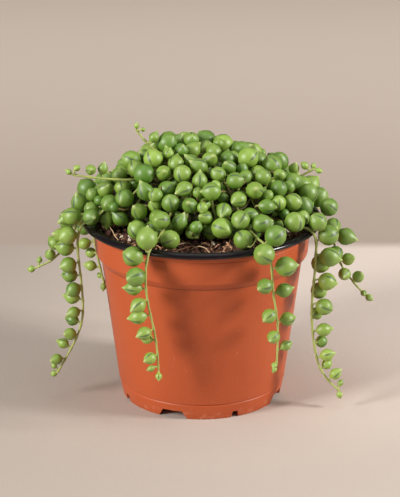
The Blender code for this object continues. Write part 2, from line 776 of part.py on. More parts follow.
def bed_leaves(strands):
    """Leaves of the old growth: they fill the heap's surface between the younger stems."""
    random_source = random.Random(SEED + 1)
    young = [leaf for s in strands for leaf in s.leaves]
    segments = [(a, b, STEM_RADIUS + LEAF_GAP if k else HOLE_RADIUS + LEAF_GAP)
                for s in strands for a, b, k in stem_runs(s)]
    small, large = BED_SIZES
    bed = []
    golden = 180 * (3 - math.sqrt(5))
    for stand in BED_STANDS:
        for k in range(BED_TRIES):
            polar = math.degrees(math.acos(1 - BED_REACH * (k + 0.5) / BED_TRIES))
            outward = towards(golden * k, polar)
            surface = on_heap(outward)
            wanted = random_source.uniform(small, large)
            leaf = Leaf(0, surface + outward * wanted * stand, wanted, random_source.uniform(0, math.tau))
            leaf.home = surface - outward * BED_ROOT
            leaf.radius = bed_room(leaf, young, segments, bed)
            if leaf.radius > small:
                bed.append(leaf)
    return bed


def heap_of_growth(strands, mat):
    """The heap: a rounded core with the leaves of the old growth standing out of it."""
    bm = bmesh.new()
    bmesh.ops.create_uvsphere(bm, u_segments=HEAP_SIDES, v_segments=HEAP_BANDS, radius=1)
    for v in bm.verts:
        v.co = on_heap((v.co * HEAP_HALF).normalized(), -CORE_INSET)
        v.co.z = max(v.co.z, HEAP_BASE)
    heap = add_object("heap", bm, mat)
    beads = new_collection("bed leaves")
    for leaf in bed_leaves(strands):
        bm = bmesh.new()
        lean = Vector((math.cos(leaf.spin), math.sin(leaf.spin), 0)) * BED_LEAN
        add_bead(bm, leaf, leaf.home, ((leaf.centre - HEAP_CENTRE).normalized() + lean).normalized())
        add_object("bed leaf", bm, None, beads)
    boolean(heap, beads, "UNION")
    holes = new_collection("root holes")
    for s in strands:
        bm = bmesh.new()
        inward = (s.root - s.nodes[0]).normalized()
        add_rod(bm, s.root + inward * SKIN_GAP, s.nodes[0], HOLE_RADIUS, HOLE_SIDES)
        add_object("root hole", bm, None, holes)
    boolean(heap, holes, "DIFFERENCE")


def inside_of_sleeve():
    """The inside of the pot's outer layer from its top down to its floor, as radius and height."""
    walls = [(r - WALL, z) for r, z in (BAND_TOP, BAND_BASE, BODY_TOP)]
    return [(LEDGE[0] - WALL, SLEEVE_TOP), *walls, (BODY_BASE[0] - BASE_WALL, BODY_BASE[1]),
            (FOOT_RADIUS - WALL, RECESS + FLOOR)]


def outer_layer(mat):
    """The terracotta layer, from its recessed floor out over the foot, up and back down inside."""
    groove_radius, groove_height = GROOVE
    outside = [(FOOT_RADIUS - FOOT_WIDTH, RECESS), (FOOT_RADIUS - FOOT_WIDTH, 0), (FOOT_RADIUS, 0),
               (groove_radius + GROOVE_DEPTH, groove_height - GROOVE_DEPTH), GROOVE,
               BODY_BASE, BODY_TOP, BAND_BASE, BAND_TOP, LEDGE, (LEDGE[0], SLEEVE_TOP)]
    pot = turned("pot", outside + inside_of_sleeve(), mat)
    cut_drains(pot)
    cut_notches(pot)


def inner_layer(mat):
    """The black layer, which lies in the other and whose top is turned out over it as the rim."""
    outside = inset(inside_of_sleeve(), SKIN_GAP)[::-1]
    outside[-1] = (outside[-1][0], SLEEVE_TOP + SKIN_GAP)
    lip = [(LEDGE[0] + SKIN_GAP, RIM_TOP - LIP_UNDERSIDE)]
    lip += [(RIM_RADIUS - inward, RIM_TOP - down) for inward, down in LIP]
    liner = turned("liner", outside + lip + inset(inside_of_sleeve(), SKIN_GAP + WALL), mat)
    cut_drains(liner)


def cut_drains(obj):
    """Drain holes through the floor."""
    drains = new_collection("drains")
    for k in range(DRAIN_COUNT):
        centre = towards(360 * (k + 0.5) / DRAIN_COUNT, 90) * DRAIN_CIRCLE
        centre.z = 0
        bm = bmesh.new()
        add_rod(bm, centre, centre + Vector((0, 0, RECESS * 2)), DRAIN_RADIUS, DRAIN_SIDES)
        add_object("drain", bm, None, drains)
    boolean(obj, drains, "DIFFERENCE")


def cut_notches(obj):
    """Notches through the foot, each a four-sided shape extruded outwards."""
    notches = new_collection("notches")
    for k in range(NOTCH_COUNT):
        wide, narrow, high = NARROW_NOTCH if k % 2 else WIDE_NOTCH
        corners = ((-wide, -high), (wide, -high), (narrow, high), (-narrow, high))
        bm = bmesh.new()
        face = bm.faces.new([bm.verts.new((FOOT_RADIUS - NOTCH_DEPTH, x, z)) for x, z in corners])
        grown = bmesh.ops.extrude_face_region(bm, geom=[face])["geom"]
        bmesh.ops.translate(bm, verts=[v for v in grown if isinstance(v, bmesh.types.BMVert)],
                            vec=(NOTCH_DEPTH + FOOT_WIDTH, 0, 0))
        turn = Matrix.Rotation(FIRST_NOTCH + math.tau * k / NOTCH_COUNT, 3, "Z")
        bmesh.ops.rotate(bm, verts=bm.verts, matrix=turn)
        add_object("notch", bm, None, notches)
    boolean(obj, notches, "DIFFERENCE")


def mix_lump(point):
    """How far the mix's top stands above its mean height. It stays level under the heap."""
    if point.z < MIX_TOP - MIX_EDGE_DROP / 2 or heap_share(Vector((point.x, point.y, HEAP_CENTRE.z))) < 1:
        return 0.0
    r = math.hypot(point.x, point.y)
    a = math.atan2(point.y, point.x)
    wave = sum(math.sin(turns * a + outwards * r + start) * share
               for turns, outwards, start, share in MIX_WAVES)
    return MIX_LUMP * wave / sum(share for *_, share in MIX_WAVES)


def potting_mix(mat):
    """The mix fills the inner layer from its floor up to a lumpy top."""
    inside = inset(inside_of_sleeve(), SKIN_GAP * 2 + WALL)
    edge = inside[1][0]
    top = [(edge * (1 - k / MIX_RINGS), MIX_TOP) for k in range(1, MIX_RINGS)]
    turned("soil", inside[:1:-1] + [(edge, MIX_TOP - MIX_EDGE_DROP)] + top, mat, mix_lump)


def build():
    for obj in list(bpy.data.objects):
        bpy.data.objects.remove(obj)
    outer_layer(material("terracotta", (0.56, 0.12, 0.05), 0.55))
    inner_layer(material("black", (0.02, 0.018, 0.02), 0.45))
    potting_mix(material("potting mix", (0.05, 0.025, 0.014), 0.95))
    strands = grow()
    settle_in(strands)
    heap_of_growth(strands, material("old growth green", (0.10, 0.22, 0.05), 0.4))
    leaf_green = material("leaf green", (0.16, 0.32, 0.07), 0.3)
    for s in strands:
        leafy_stem(s, leaf_green)


build()
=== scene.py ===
import json
import math
import random

import bmesh
import bpy
from mathutils import Matrix, Vector, noise
from mathutils.geometry import intersect_point_line
from mathutils.kdtree import KDTree

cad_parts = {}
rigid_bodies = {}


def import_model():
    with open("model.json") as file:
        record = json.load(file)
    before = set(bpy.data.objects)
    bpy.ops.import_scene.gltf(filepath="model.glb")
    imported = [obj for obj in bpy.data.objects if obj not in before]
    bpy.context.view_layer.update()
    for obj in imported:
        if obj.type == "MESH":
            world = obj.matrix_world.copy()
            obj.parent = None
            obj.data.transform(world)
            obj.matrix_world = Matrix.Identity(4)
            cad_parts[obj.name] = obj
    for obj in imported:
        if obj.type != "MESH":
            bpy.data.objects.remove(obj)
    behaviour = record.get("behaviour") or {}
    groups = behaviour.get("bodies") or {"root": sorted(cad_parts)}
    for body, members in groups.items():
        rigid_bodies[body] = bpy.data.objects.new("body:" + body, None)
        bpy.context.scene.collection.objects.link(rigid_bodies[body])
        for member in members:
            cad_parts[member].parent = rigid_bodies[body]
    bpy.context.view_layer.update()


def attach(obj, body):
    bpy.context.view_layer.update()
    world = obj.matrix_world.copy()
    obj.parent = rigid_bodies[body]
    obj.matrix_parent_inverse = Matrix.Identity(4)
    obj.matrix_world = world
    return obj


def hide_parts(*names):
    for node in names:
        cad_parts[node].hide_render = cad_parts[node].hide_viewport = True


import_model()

scene = bpy.context.scene
scene.view_settings.view_transform = "Standard"


# The view. The plant stands on a sheet of pale beige paper, seen through a long lens from a little
# above its rim. The sheet is flat: where the real one bends up behind the pot, a step in its tone is
# painted, with painted shade near the bend and painted light higher up. A soft lamp stands at each
# side, a little to the front, and a wide one hangs above.
LOOKS_DOWN = 19.67
LAMPS_FACE = Vector((0, 0, 0.07))
lens = bpy.data.cameras.new("camera")
lens.lens = 150.7
lens.sensor_width = 36
lens.clip_end = 30
camera = bpy.data.objects.new("camera", lens)
camera.location = (-0.0008, -0.900, 0.391)
camera.rotation_euler = (math.radians(90 - LOOKS_DOWN), 0, 0)
scene.collection.objects.link(camera)
scene.camera = camera


def lamp(name, azimuth, elevation, distance, size, power, colour):
    """A wide soft lamp that faces the plant. Azimuth 0 is in front and 90 is at the right."""
    data = bpy.data.lights.new(name, "AREA")
    data.shape = "RECTANGLE"
    data.size, data.size_y = size
    data.energy = power
    data.color = colour
    a = math.radians(azimuth)
    e = math.radians(elevation)
    away = Vector((math.sin(a) * math.cos(e), -math.cos(a) * math.cos(e), math.sin(e)))
    obj = bpy.data.objects.new(name, data)
    obj.location = LAMPS_FACE + away * distance
    obj.rotation_euler = away.to_track_quat("Z", "Y").to_euler()
    scene.collection.objects.link(obj)


lamp("left lamp", -57, 25, 1.1, (0.28, 0.40), 13.5, (1.0, 0.97, 0.93))
lamp("right lamp", 76, 25, 1.1, (0.20, 0.28), 12.2, (1.0, 0.97, 0.93))
lamp("top lamp", 0, 84, 1.3, (0.9, 0.9), 4.3, (1.0, 0.98, 0.95))

scene.world = bpy.data.worlds.new("room")
scene.world.use_nodes = True
room_light = scene.world.node_tree.nodes["Background"]
room_light.inputs["Color"].default_value = (0.86, 0.80, 0.74, 1)
room_light.inputs["Strength"].default_value = 0.225


class Wire:
    """A socket on a board, on which sums can be written."""

    def __init__(self, board, socket):
        self.board = board
        self.socket = socket

    def __add__(self, other):
        return self.board.sum("ADD", self, other)

    def __sub__(self, other):
        return self.board.sum("SUBTRACT", self, other)

    def __rsub__(self, other):
        return self.board.sum("SUBTRACT", other, self)

    def __mul__(self, other):
        return self.board.sum("MULTIPLY", self, other)

    def __truediv__(self, other):
        return self.board.sum("DIVIDE", self, other)

    def __rtruediv__(self, other):
        return self.board.sum("DIVIDE", other, self)

    __radd__ = __add__
    __rmul__ = __mul__


class Board:
    """A node tree that is wired up in words: a node's settings first, then what its sockets take."""

    def __init__(self, tree):
        self.tree = tree

    def node(self, kind, settings=None, values=None, out=None):
        made = self.tree.nodes.new(kind)
        for name, value in (settings or {}).items():
            setattr(made, name, value)
        for name, value in (values or {}).items():
            socket = next(s for s in made.inputs if s.name == name and s.enabled)
            for item in value if isinstance(value, list) else [value]:
                self.feed(socket, item)
        return Wire(self, next(s for s in made.outputs if s.enabled and s.name == (out or s.name)))

    def feed(self, socket, value):
        if isinstance(value, Wire):
            self.tree.links.new(value.socket, socket)
        else:
            socket.default_value = (*value, 1) if socket.type == "RGBA" else value

    def sum(self, operation, a, b=0.0):
        made = self.tree.nodes.new("ShaderNodeMath")
        made.operation = operation
        for socket, value in zip(made.inputs, (a, b)):
            self.feed(socket, value)
        return Wire(self, made.outputs[0])

    def rise(self, value, low, high):
        """0 below low and 1 above high, with soft ends."""
        return self.node("ShaderNodeMapRange", {"interpolation_type": "SMOOTHSTEP"},
                         {"Value": value, "From Min": low, "From Max": high})

    def fall(self, value, low, high):
        return 1 - self.rise(value, low, high)

    def blend(self, share, first, second):
        """The first colour where the share is 0, the second where it is 1."""
        return self.node("ShaderNodeMix", {"data_type": "RGBA"}, {"Factor": share, "A": first, "B": second})

    def here(self):
        return self.node("ShaderNodeTexCoord", out="Object")

    def axes(self, vector):
        split = self.node("ShaderNodeSeparateXYZ", {}, {"Vector": vector})
        return [Wire(self, socket) for socket in split.socket.node.outputs]

    def cloud(self, scale, detail):
        """Soft noise with its blobs about 1 / scale metres across."""
        return self.node("ShaderNodeTexNoise", {},
                         {"Vector": self.here(), "Scale": scale, "Detail": detail}, "Fac")

    def attribute(self, name, out="Fac"):
        return self.node("ShaderNodeAttribute", {"attribute_name": name}, out=out)

    def bump(self, height, distance):
        return self.node("ShaderNodeBump", {}, {"Height": height, "Distance": distance, "Strength": 1.0})


class Finish(Board):
    """The finish of one surface: fixed values first, then what changes over the surface."""

    def __init__(self, name, fixed):
        self.material = bpy.data.materials.new(name)
        self.material.use_nodes = True
        super().__init__(self.material.node_tree)
        self.skin = self.tree.nodes["Principled BSDF"]
        for socket, value in fixed.items():
            self.skin.inputs[socket].default_value = value

    def shows(self, changing):
        for socket, wire in changing.items():
            self.tree.links.new(wire.socket, self.skin.inputs[socket])


def add_piece(name, mesh, *finishes):
    """An object at the origin whose place is in its mesh."""
    obj = bpy.data.objects.new(name, mesh)
    for made in finishes:
        mesh.materials.append(made.material)
    scene.collection.objects.link(obj)
    return obj


paper_bend = 0.195
paper = Finish("beige paper", {"Roughness": 0.85, "Specular IOR Level": 0.2})
across, depth, _ = paper.axes(paper.here())
# Painted light: behind the bend the flat sheet takes the tone of an upright sheet, darker near the bend as
# painted shade and lighter further back as painted light.
step = paper.rise(depth, paper_bend - 0.004, paper_bend + 0.012)
painted_wall_shading = paper.rise(depth, paper_bend - 0.15, paper_bend + 0.60)
# Painted light: the floor's tone is painted darker to the left and lighter to the right, and evened out
# towards the front, for how the lamps light it.
sheet_tone_with_painted_light = paper.blend(paper.rise(across, -0.14, 0.12), (0.408, 0.356, 0.314), (0.715, 0.622, 0.560))
sheet_tone_with_painted_light = paper.blend(paper.fall(depth, -0.10, 0.08) * 0.66, sheet_tone_with_painted_light, (0.395, 0.345, 0.306))
painted_wall_tone = paper.blend(painted_wall_shading, (0.350, 0.284, 0.238), (0.90, 0.775, 0.678))
sheet_tone_with_painted_light = paper.blend(step, sheet_tone_with_painted_light, painted_wall_tone)
grain = paper.cloud(900, 2)
paper.shows({"Base Color": paper.blend(grain * 0.05, sheet_tone_with_painted_light, (0.30, 0.24, 0.20)),
             "Normal": paper.bump(grain, 0.0001)})
floor_mesh = bpy.data.meshes.new("paper sheet")
reach = 4.0
floor_mesh.from_pydata([(-reach, -reach, 0), (reach, -reach, 0), (reach, reach, 0), (-reach, reach, 0)], [],
                       [(0, 1, 2, 3)])
add_piece("paper_sheet", floor_mesh, paper)


# The pot's outer layer. Soft terracotta-coloured plastic, drawn into a tapered wall 0.8 mm thick with
# a wider band below the rim, fine creases over the foot and over the band, and eight notches through
# the foot ring. A thin dark line is painted along the crease under the band as painted shade. The pot
# tapers from 49.5 mm radius to 38.6 mm.
FOOT_RADIUS = 0.0369
FOOT_WIDTH = 0.0020
GROOVE = (0.0379, 0.0074)
GROOVE_DEPTH = 0.0004
BODY_BASE = (0.03865, 0.0078)
BODY_TOP = (0.0461, 0.0662)
BAND_BASE = (0.0487, 0.0695)
BAND_TOP = (0.0495, 0.0799)
LEDGE = (0.0499, 0.0817)
SLEEVE_TOP = 0.0832
RIM_RADIUS = 0.0550
RIM_TOP = 0.0862
RECESS = 0.0039
FLOOR = 0.0010
WALL = 0.0008
BASE_WALL = 0.0014
SKIN_GAP = 0.0003
DRAIN_HOLES = 6
DRAIN_RING = 0.0270
DRAIN_RADIUS = 0.0019
NOTCHES = 8
NOTCH_TURN = -111
NOTCH_INWARD = 0.0032
WIDE_NOTCH = (0.0090, 0.0047, 0.0038)
NARROW_NOTCH = (0.0026, 0.0012, 0.0031)
CREASE = 0.0003
OUTER_ROUNDING = 0.00035
INNER_ROUNDING = 0.0008
SHARP = math.radians(35)
TURN_STEPS = 160


def eased(profile, reach, cuts=3):
    """The profile with each corner cut back by up to this reach and rounded."""
    points = [Vector(p) for p in profile]
    done = [points[0]]
    for before, corner, after in zip(points, points[1:], points[2:]):
        back = min(reach, (before - corner).length * 0.45)
        on = min(reach, (after - corner).length * 0.45)
        start = corner + (before - corner).normalized() * back
        end = corner + (after - corner).normalized() * on
        for k in range(cuts + 1):
            t = k / cuts
            done.append(start.lerp(corner, t).lerp(corner.lerp(end, t), t))
    return [*done, points[-1]]


def turned(profile):
    """A mesh turned about the pot's axis, from a profile of radius and height, with its ends filled."""
    bm = bmesh.new()
    lines = []
    for k in range(TURN_STEPS):
        turn = Matrix.Rotation(math.tau * k / TURN_STEPS, 3, "Z")
        lines.append([bm.verts.new(turn @ Vector((r, 0, z))) for r, z in profile])
    for line, after in zip(lines, lines[1:] + lines[:1]):
        for a, b, c, d in zip(line, after, after[1:], line[1:]):
            bm.faces.new((a, b, c, d))
    for end in (0, -1):
        bm.faces.new([line[end] for line in lines])
    bmesh.ops.recalc_face_normals(bm, faces=bm.faces)
    return bm


def smoothed(mesh, sharp):
    """The mesh, smooth but for the edges that bend by more than this angle."""
    mesh.shade_smooth()
    mesh.set_sharp_from_angle(angle=sharp)
    return mesh


def plain(bm, name, sharp=SHARP):
    mesh = bpy.data.meshes.new(name)
    bm.to_mesh(mesh)
    bm.free()
    return smoothed(mesh, sharp)


def with_modifier(obj):
    """The mesh that the object's modifier makes."""
    bpy.context.view_layer.update()
    return bpy.data.meshes.new_from_object(obj.evaluated_get(bpy.context.evaluated_depsgraph_get()))


def cut(mesh, cutters, name):
    """The mesh with the cutters, given as bmeshes, taken out of it."""
    body = bpy.data.objects.new(name, mesh)
    scene.collection.objects.link(body)
    group = bpy.data.collections.new(name + " cutters")
    scene.collection.children.link(group)
    for bm in cutters:
        bmesh.ops.recalc_face_normals(bm, faces=bm.faces)
        group.objects.link(bpy.data.objects.new("cutter", plain(bm, "cutter")))
    modifier = body.modifiers.new("cut", "BOOLEAN")
    modifier.operand_type = "COLLECTION"
    modifier.collection = group
    modifier.solver = "EXACT"
    done = with_modifier(body)
    for obj in [body, *group.objects]:
        bpy.data.objects.remove(obj)
    bpy.data.collections.remove(group)
    return smoothed(done, SHARP)


def drain_cutters():
    """Drain holes in a ring through the floor."""
    cutters = []
    for k in range(DRAIN_HOLES):
        bm = bmesh.new()
        turn = Matrix.Rotation(math.tau * (k + 0.5) / DRAIN_HOLES, 4, "Z")
        bmesh.ops.create_cone(bm, cap_ends=True, segments=20, radius1=DRAIN_RADIUS, radius2=DRAIN_RADIUS,
                              depth=RECESS * 2, matrix=turn @ Matrix.Translation((DRAIN_RING, 0, RECESS)))
        cutters.append(bm)
    return cutters


def notch_cutters():
    """Notches through the foot ring, wide and narrow in turn: half widths below and above, and height."""
    cutters = []
    for k in range(NOTCHES):
        wide, narrow, high = NARROW_NOTCH if k % 2 else WIDE_NOTCH
        corners = ((-wide, -high), (wide, -high), (narrow, high), (-narrow, high))
        bm = bmesh.new()
        face = bm.faces.new([bm.verts.new((FOOT_RADIUS - NOTCH_INWARD, x, z)) for x, z in corners])
        grown = bmesh.ops.extrude_face_region(bm, geom=[face])["geom"]
        bmesh.ops.translate(bm, verts=[v for v in grown if isinstance(v, bmesh.types.BMVert)],
                            vec=(NOTCH_INWARD + FOOT_WIDTH, 0, 0))
        turn = Matrix.Rotation(math.radians(NOTCH_TURN) + math.tau * k / NOTCHES, 3, "Z")
        bmesh.ops.rotate(bm, verts=bm.verts, matrix=turn)
        cutters.append(bm)
    return cutters


def inside_of_sleeve():
    """The inside of the outer layer from its top down to its floor, as radius and height."""
    walls = [(r - WALL, z) for r, z in (BAND_TOP, BAND_BASE, BODY_TOP)]
    return [(LEDGE[0] - WALL, SLEEVE_TOP), *walls, (BODY_BASE[0] - BASE_WALL, BODY_BASE[1]),
            (FOOT_RADIUS - WALL, RECESS + FLOOR)]


def inset(profile, by):
    """The profile moved in towards the axis, with its last point, on the floor, moved up as well."""
    moved = [(r - by, z) for r, z in profile]
    moved[-1] = (moved[-1][0], moved[-1][1] + by)
    return moved


groove_radius, groove_height = GROOVE
band_radius, band_height = BAND_TOP
foot = [(FOOT_RADIUS - FOOT_WIDTH, RECESS), (FOOT_RADIUS - FOOT_WIDTH, 0), (FOOT_RADIUS, 0),
        (groove_radius + GROOVE_DEPTH, groove_height - GROOVE_DEPTH)]
wall = [(BODY_BASE[0] - CREASE / 6, BODY_BASE[1]), BODY_TOP, BAND_BASE]
band = [(band_radius - CREASE / 6, band_height - CREASE), (band_radius - CREASE, band_height),
        (band_radius + CREASE / 3, band_height + CREASE), LEDGE, (LEDGE[0], SLEEVE_TOP)]
sleeve = eased([*foot, GROOVE, *wall, *band], OUTER_ROUNDING) + eased(inside_of_sleeve(), INNER_ROUNDING)
pot_mesh = cut(plain(turned(sleeve), "pot"), drain_cutters() + notch_cutters(), "pot")

terracotta = Finish("terracotta plastic", {"Specular IOR Level": 0.36})
_, _, up = terracotta.axes(terracotta.here())
mottle = terracotta.cloud(55, 4)
pimple = terracotta.cloud(2600, 2)
dust = terracotta.rise(terracotta.cloud(1100, 1), 0.735, 0.765)
rubbed = terracotta.fall(up, 0.0, 0.006) * terracotta.rise(terracotta.cloud(420, 4), 0.5, 0.75)
clay = terracotta.blend(mottle, (0.430, 0.077, 0.021), (0.496, 0.098, 0.029))
clay = terracotta.blend(rubbed * 0.45, clay, (0.72, 0.33, 0.20))
# Painted shade: a thin dark line along the crease where the band meets the body.
seam = BODY_TOP[1] + 0.0001
fades = CREASE * 2
painted_crease_shade = terracotta.rise(up, seam - fades, seam) * terracotta.fall(up, seam, seam + fades)
clay = terracotta.blend(painted_crease_shade * 0.55, clay, (0.110, 0.020, 0.008))
terracotta.shows({"Base Color": terracotta.blend(dust * 0.25, clay, (0.80, 0.52, 0.38)),
                  "Roughness": mottle * 0.16 + pimple * 0.06 + rubbed * 0.2 + 0.33,
                  "Normal": terracotta.bump(pimple, 0.00003)})
pot = add_piece("pot_outer_layer", pot_mesh, terracotta)
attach(pot, "root")
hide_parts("pot")


# The pot's inner layer. Black plastic moulded with the outer one; its top is turned out over the
# sleeve as a rolled rim, 3.4 mm wide above a step, which keeps fine rings from its mould.
LIP_CORNERS = ((0.0016, 0.0026), (0.0006, 0.0029), (0.0, 0.0019), (0.0008, 0.0006), (0.0021, 0.0),
               (0.0034, 0.0005), (0.0040, 0.0013), (0.0070, 0.0026))
LIP_ROUNDING = 0.0007
LIP_UNDERSIDE = RIM_TOP - 0.0021
outside = inset(inside_of_sleeve(), SKIN_GAP)[::-1]
outside[-1] = (outside[-1][0], SLEEVE_TOP + SKIN_GAP)
lip = [(LEDGE[0] + SKIN_GAP, LIP_UNDERSIDE)]
lip += [(RIM_RADIUS - inward, RIM_TOP - down) for inward, down in LIP_CORNERS]
hollow = inset(inside_of_sleeve(), SKIN_GAP + WALL)
sleeve = eased([*outside, *lip, *hollow], LIP_ROUNDING, 4)
liner_mesh = cut(plain(turned(sleeve), "liner"), drain_cutters(), "liner")

black = Finish("black plastic", {"Specular IOR Level": 0.42})
across, along, up = black.axes(black.here())
out = black.sum("SQRT", across * across + along * along)
radians_per_metre = 9000
rings = black.sum("SINE", out * radians_per_metre)
haze = black.cloud(160, 4)
grit = black.rise(black.cloud(1500, 2), 0.66, 0.74) * black.fall(up, RIM_TOP - 0.004, RIM_TOP - 0.002)
tint = black.blend(haze, (0.001, 0.0005, 0.001), (0.006, 0.003, 0.006))
black.shows({"Base Color": black.blend(grit * 0.6, tint, (0.10, 0.06, 0.04)),
             "Roughness": haze * 0.16 + 0.13,
             "Normal": black.bump(rings * 0.5 + haze, 0.00003)})
liner = add_piece("pot_inner_layer", liner_mesh, black)
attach(liner, "root")
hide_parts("liner")


# The potting mix. Dark peat with chips of bark, white grains of perlite and bits of fine root. It fills
# the pot to 4 mm below its rim. The top is crumbly, and sinks a little where it meets the pot's wall.
MIX_TOP = 0.0822
MIX_EDGE_DROP = 0.0020
MIX_EDGE_WIDTH = 0.0008
MIX_RINGS = 30
MIX_LUMP = 0.0009
MIX_WAVES = ((5, 40, 0.0, 1.0), (11, 0, 1.3, 0.6), (3, 230, 0.0, 0.7))
BARE_CRUMBS = ((260, 0.0006), (800, 0.0003))
CRUMBS_UNDER_HEAP = ((500, 0.0002),)

# The heap of growth that stands on the mix: its middle, half sizes and roundness, how far its top leans
# to the left, where its left shoulder is sunken, and its underside
HEAP_CENTRE = Vector((0.0, 0.007, 0.092))
HEAP_HALF = Vector((0.0442, 0.0345, 0.0170))
HEAP_POWER = 1.75
HEAP_LEAN = 0.30
HEAP_DENT = 0.15
DENT_PLACE = (165, 68)
DENT_REACH = 45
HEAP_BELOW = 0.0140
HEAP_BASE = 0.0826


def towards(azimuth, polar):
    """The unit direction at these angles in degrees, where polar 0 is straight up."""
    a = math.radians(azimuth)
    p = math.radians(polar)
    return Vector((math.cos(a) * math.sin(p), math.sin(a) * math.sin(p), math.cos(p)))


def heap_share(point, grow=0.0):
    """1 on the surface of the heap of growth moved out by grow, less inside it, more outside."""
    offset = point - HEAP_CENTRE
    half_z = HEAP_HALF.z if offset.z > 0 else HEAP_BELOW
    x = offset.x + HEAP_LEAN * max(0, offset.z)
    out = math.hypot(x / (HEAP_HALF.x + grow), offset.y / (HEAP_HALF.y + grow))
    share = (out**HEAP_POWER + abs(offset.z / (half_z + grow))**HEAP_POWER)**(1 / HEAP_POWER)
    away = math.degrees(offset.angle(towards(*DENT_PLACE), 0)) / DENT_REACH
    return share / (1 - HEAP_DENT * math.cos(min(1, away) * math.pi / 2)**2)


def crumbly(point, layers):
    """Layers of noise added up, each with its scale and its height."""
    return sum(noise.noise(point * scale) * height for scale, height in layers)


def mix_height(point):
    """How far the mix's top stands above its mean height: waves, and crumbs where the heap isn't."""
    if heap_share(Vector((point.x, point.y, HEAP_CENTRE.z))) < 1:
        return crumbly(point, CRUMBS_UNDER_HEAP)
    r = math.hypot(point.x, point.y)
    a = math.atan2(point.y, point.x)
    wave = sum(math.sin(turns * a + outwards * r + start) * share
               for turns, outwards, start, share in MIX_WAVES)
    return MIX_LUMP * wave / sum(share for *_, share in MIX_WAVES) + crumbly(point, BARE_CRUMBS)


mix_inside = inset(inside_of_sleeve(), SKIN_GAP * 2 + WALL)
mix_radius = mix_inside[1][0]
edge = [(mix_radius - 0.0001, MIX_TOP - MIX_EDGE_DROP),
        (mix_radius - MIX_EDGE_WIDTH, MIX_TOP - MIX_EDGE_DROP * 0.4)]
top = [(mix_radius * (1 - k / MIX_RINGS), MIX_TOP) for k in range(1, MIX_RINGS)]
bm = turned(mix_inside[:1:-1] + edge + top)
for v in bm.verts:
    if v.co.z > MIX_TOP - MIX_EDGE_DROP / 2:
        v.co.z += mix_height(v.co)
mix_mesh = plain(bm, "potting_mix")

peat = Finish("peat", {"Specular IOR Level": 0.25})
clods = peat.cloud(420, 5)
fibre = peat.cloud(1500, 3)
earth = peat.blend(peat.rise(clods, 0.35, 0.7), (0.006, 0.004, 0.003), (0.065, 0.034, 0.018))
peat.shows({"Base Color": peat.blend(peat.rise(fibre, 0.58, 0.72) * 0.5, earth, (0.16, 0.075, 0.030)),
            "Roughness": fibre * 0.2 + 0.8,
            "Normal": peat.bump(clods + fibre * 0.5, 0.0006)})
mix = add_piece("potting_mix", mix_mesh, peat)
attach(mix, "root")
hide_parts("soil")


class Shaper(Board):
    """A tree of geometry nodes with named inputs, from which plain meshes are made."""

    def __init__(self, name, inputs):
        super().__init__(bpy.data.node_groups.new(name, "GeometryNodeTree"))
        for label, kind in {"Geometry": "Geometry", **inputs}.items():
            self.tree.interface.new_socket(label, in_out="INPUT", socket_type="NodeSocket" + kind)
        self.tree.interface.new_socket("Geometry", in_out="OUTPUT", socket_type="NodeSocketGeometry")
        self.given = {s.name: Wire(self, s) for s in self.tree.nodes.new("NodeGroupInput").outputs if s.name}

    def ends_in(self, wire):
        end = self.tree.nodes.new("NodeGroupOutput")
        self.tree.links.new(wire.socket, end.inputs["Geometry"])

    def shape(self, name, mesh, values):
        """What the tree makes of the mesh, given a value for each named input."""
        obj = bpy.data.objects.new(name, mesh)
        scene.collection.objects.link(obj)
        modifier = obj.modifiers.new("shape", "NODES")
        modifier.node_group = self.tree
        for item in self.tree.interface.items_tree:
            if item.in_out == "INPUT" and item.name in values:
                modifier[item.identifier] = values[item.name]
        made = with_modifier(obj)
        bpy.data.objects.remove(obj)
        made.name = name
        return made


scatter = Shaper("scatter", {"Grain": "Object", "Density": "Float", "Seed": "Int", "Material": "Material",
                             **dict.fromkeys(("Smallest", "Largest", "Width", "Height"), "Float")})
given = scatter.given
spread = scatter.node("GeometryNodeDistributePointsOnFaces", {},
                      {"Mesh": given["Geometry"], "Density": given["Density"], "Seed": given["Seed"]})
tilt = 0.9
spin = scatter.node("FunctionNodeRandomValue", {"data_type": "FLOAT_VECTOR"},
                    {"Min": (0, 0, 0), "Max": (tilt, tilt, math.tau), "Seed": given["Seed"]})
size = scatter.node("FunctionNodeRandomValue", {},
                    {"Min": given["Smallest"], "Max": given["Largest"], "Seed": given["Seed"]})
squash = scatter.node("ShaderNodeCombineXYZ", {},
                      {"X": size, "Y": size * given["Width"], "Z": size * given["Height"]})
one = scatter.node("GeometryNodeObjectInfo", {}, {"Object": given["Grain"]}, "Geometry")
turn = scatter.node("FunctionNodeEulerToRotation", {}, {"Euler": spin})
grains = scatter.node("GeometryNodeInstanceOnPoints", {},
                      {"Points": spread, "Scale": squash, "Instance": one, "Rotation": turn})
shade = scatter.node("FunctionNodeRandomValue", {}, {"Seed": given["Seed"]})
grains = scatter.node("GeometryNodeStoreNamedAttribute", {"domain": "INSTANCE"},
                      {"Geometry": grains, "Name": "tone", "Value": shade})
loose = scatter.node("GeometryNodeRealizeInstances", {}, {"Geometry": grains})
scatter.ends_in(scatter.node("GeometryNodeSetMaterial", {},
                             {"Geometry": loose, "Material": given["Material"]}))


def lump(name, rough, seed):
    """An angular grain of 20 faces, about 1 across."""
    bm = bmesh.new()
    bmesh.ops.create_icosphere(bm, subdivisions=1, radius=0.5)
    shift = Vector((seed * 7.0, 0, 0))
    for v in bm.verts:
        v.co *= 1 + rough * noise.noise(v.co * 3 + shift)
    return bpy.data.objects.new(name, plain(bm, name, math.radians(30)))


def bare_mix():
    """The top of the mix where the heap doesn't hide it, as a mesh of its own."""
    steepest = 0.4
    under_heap = 0.98
    bm = bmesh.new()
    bm.from_mesh(mix_mesh)
    hidden = []
    for face in bm.faces:
        middle = face.calc_center_median()
        too_low = face.normal.z < steepest or middle.z < MIX_TOP - MIX_EDGE_DROP
        if too_low or heap_share(middle) < under_heap:
            hidden.append(face)
    bmesh.ops.delete(bm, geom=hidden, context="FACES")
    return plain(bm, "bare mix")


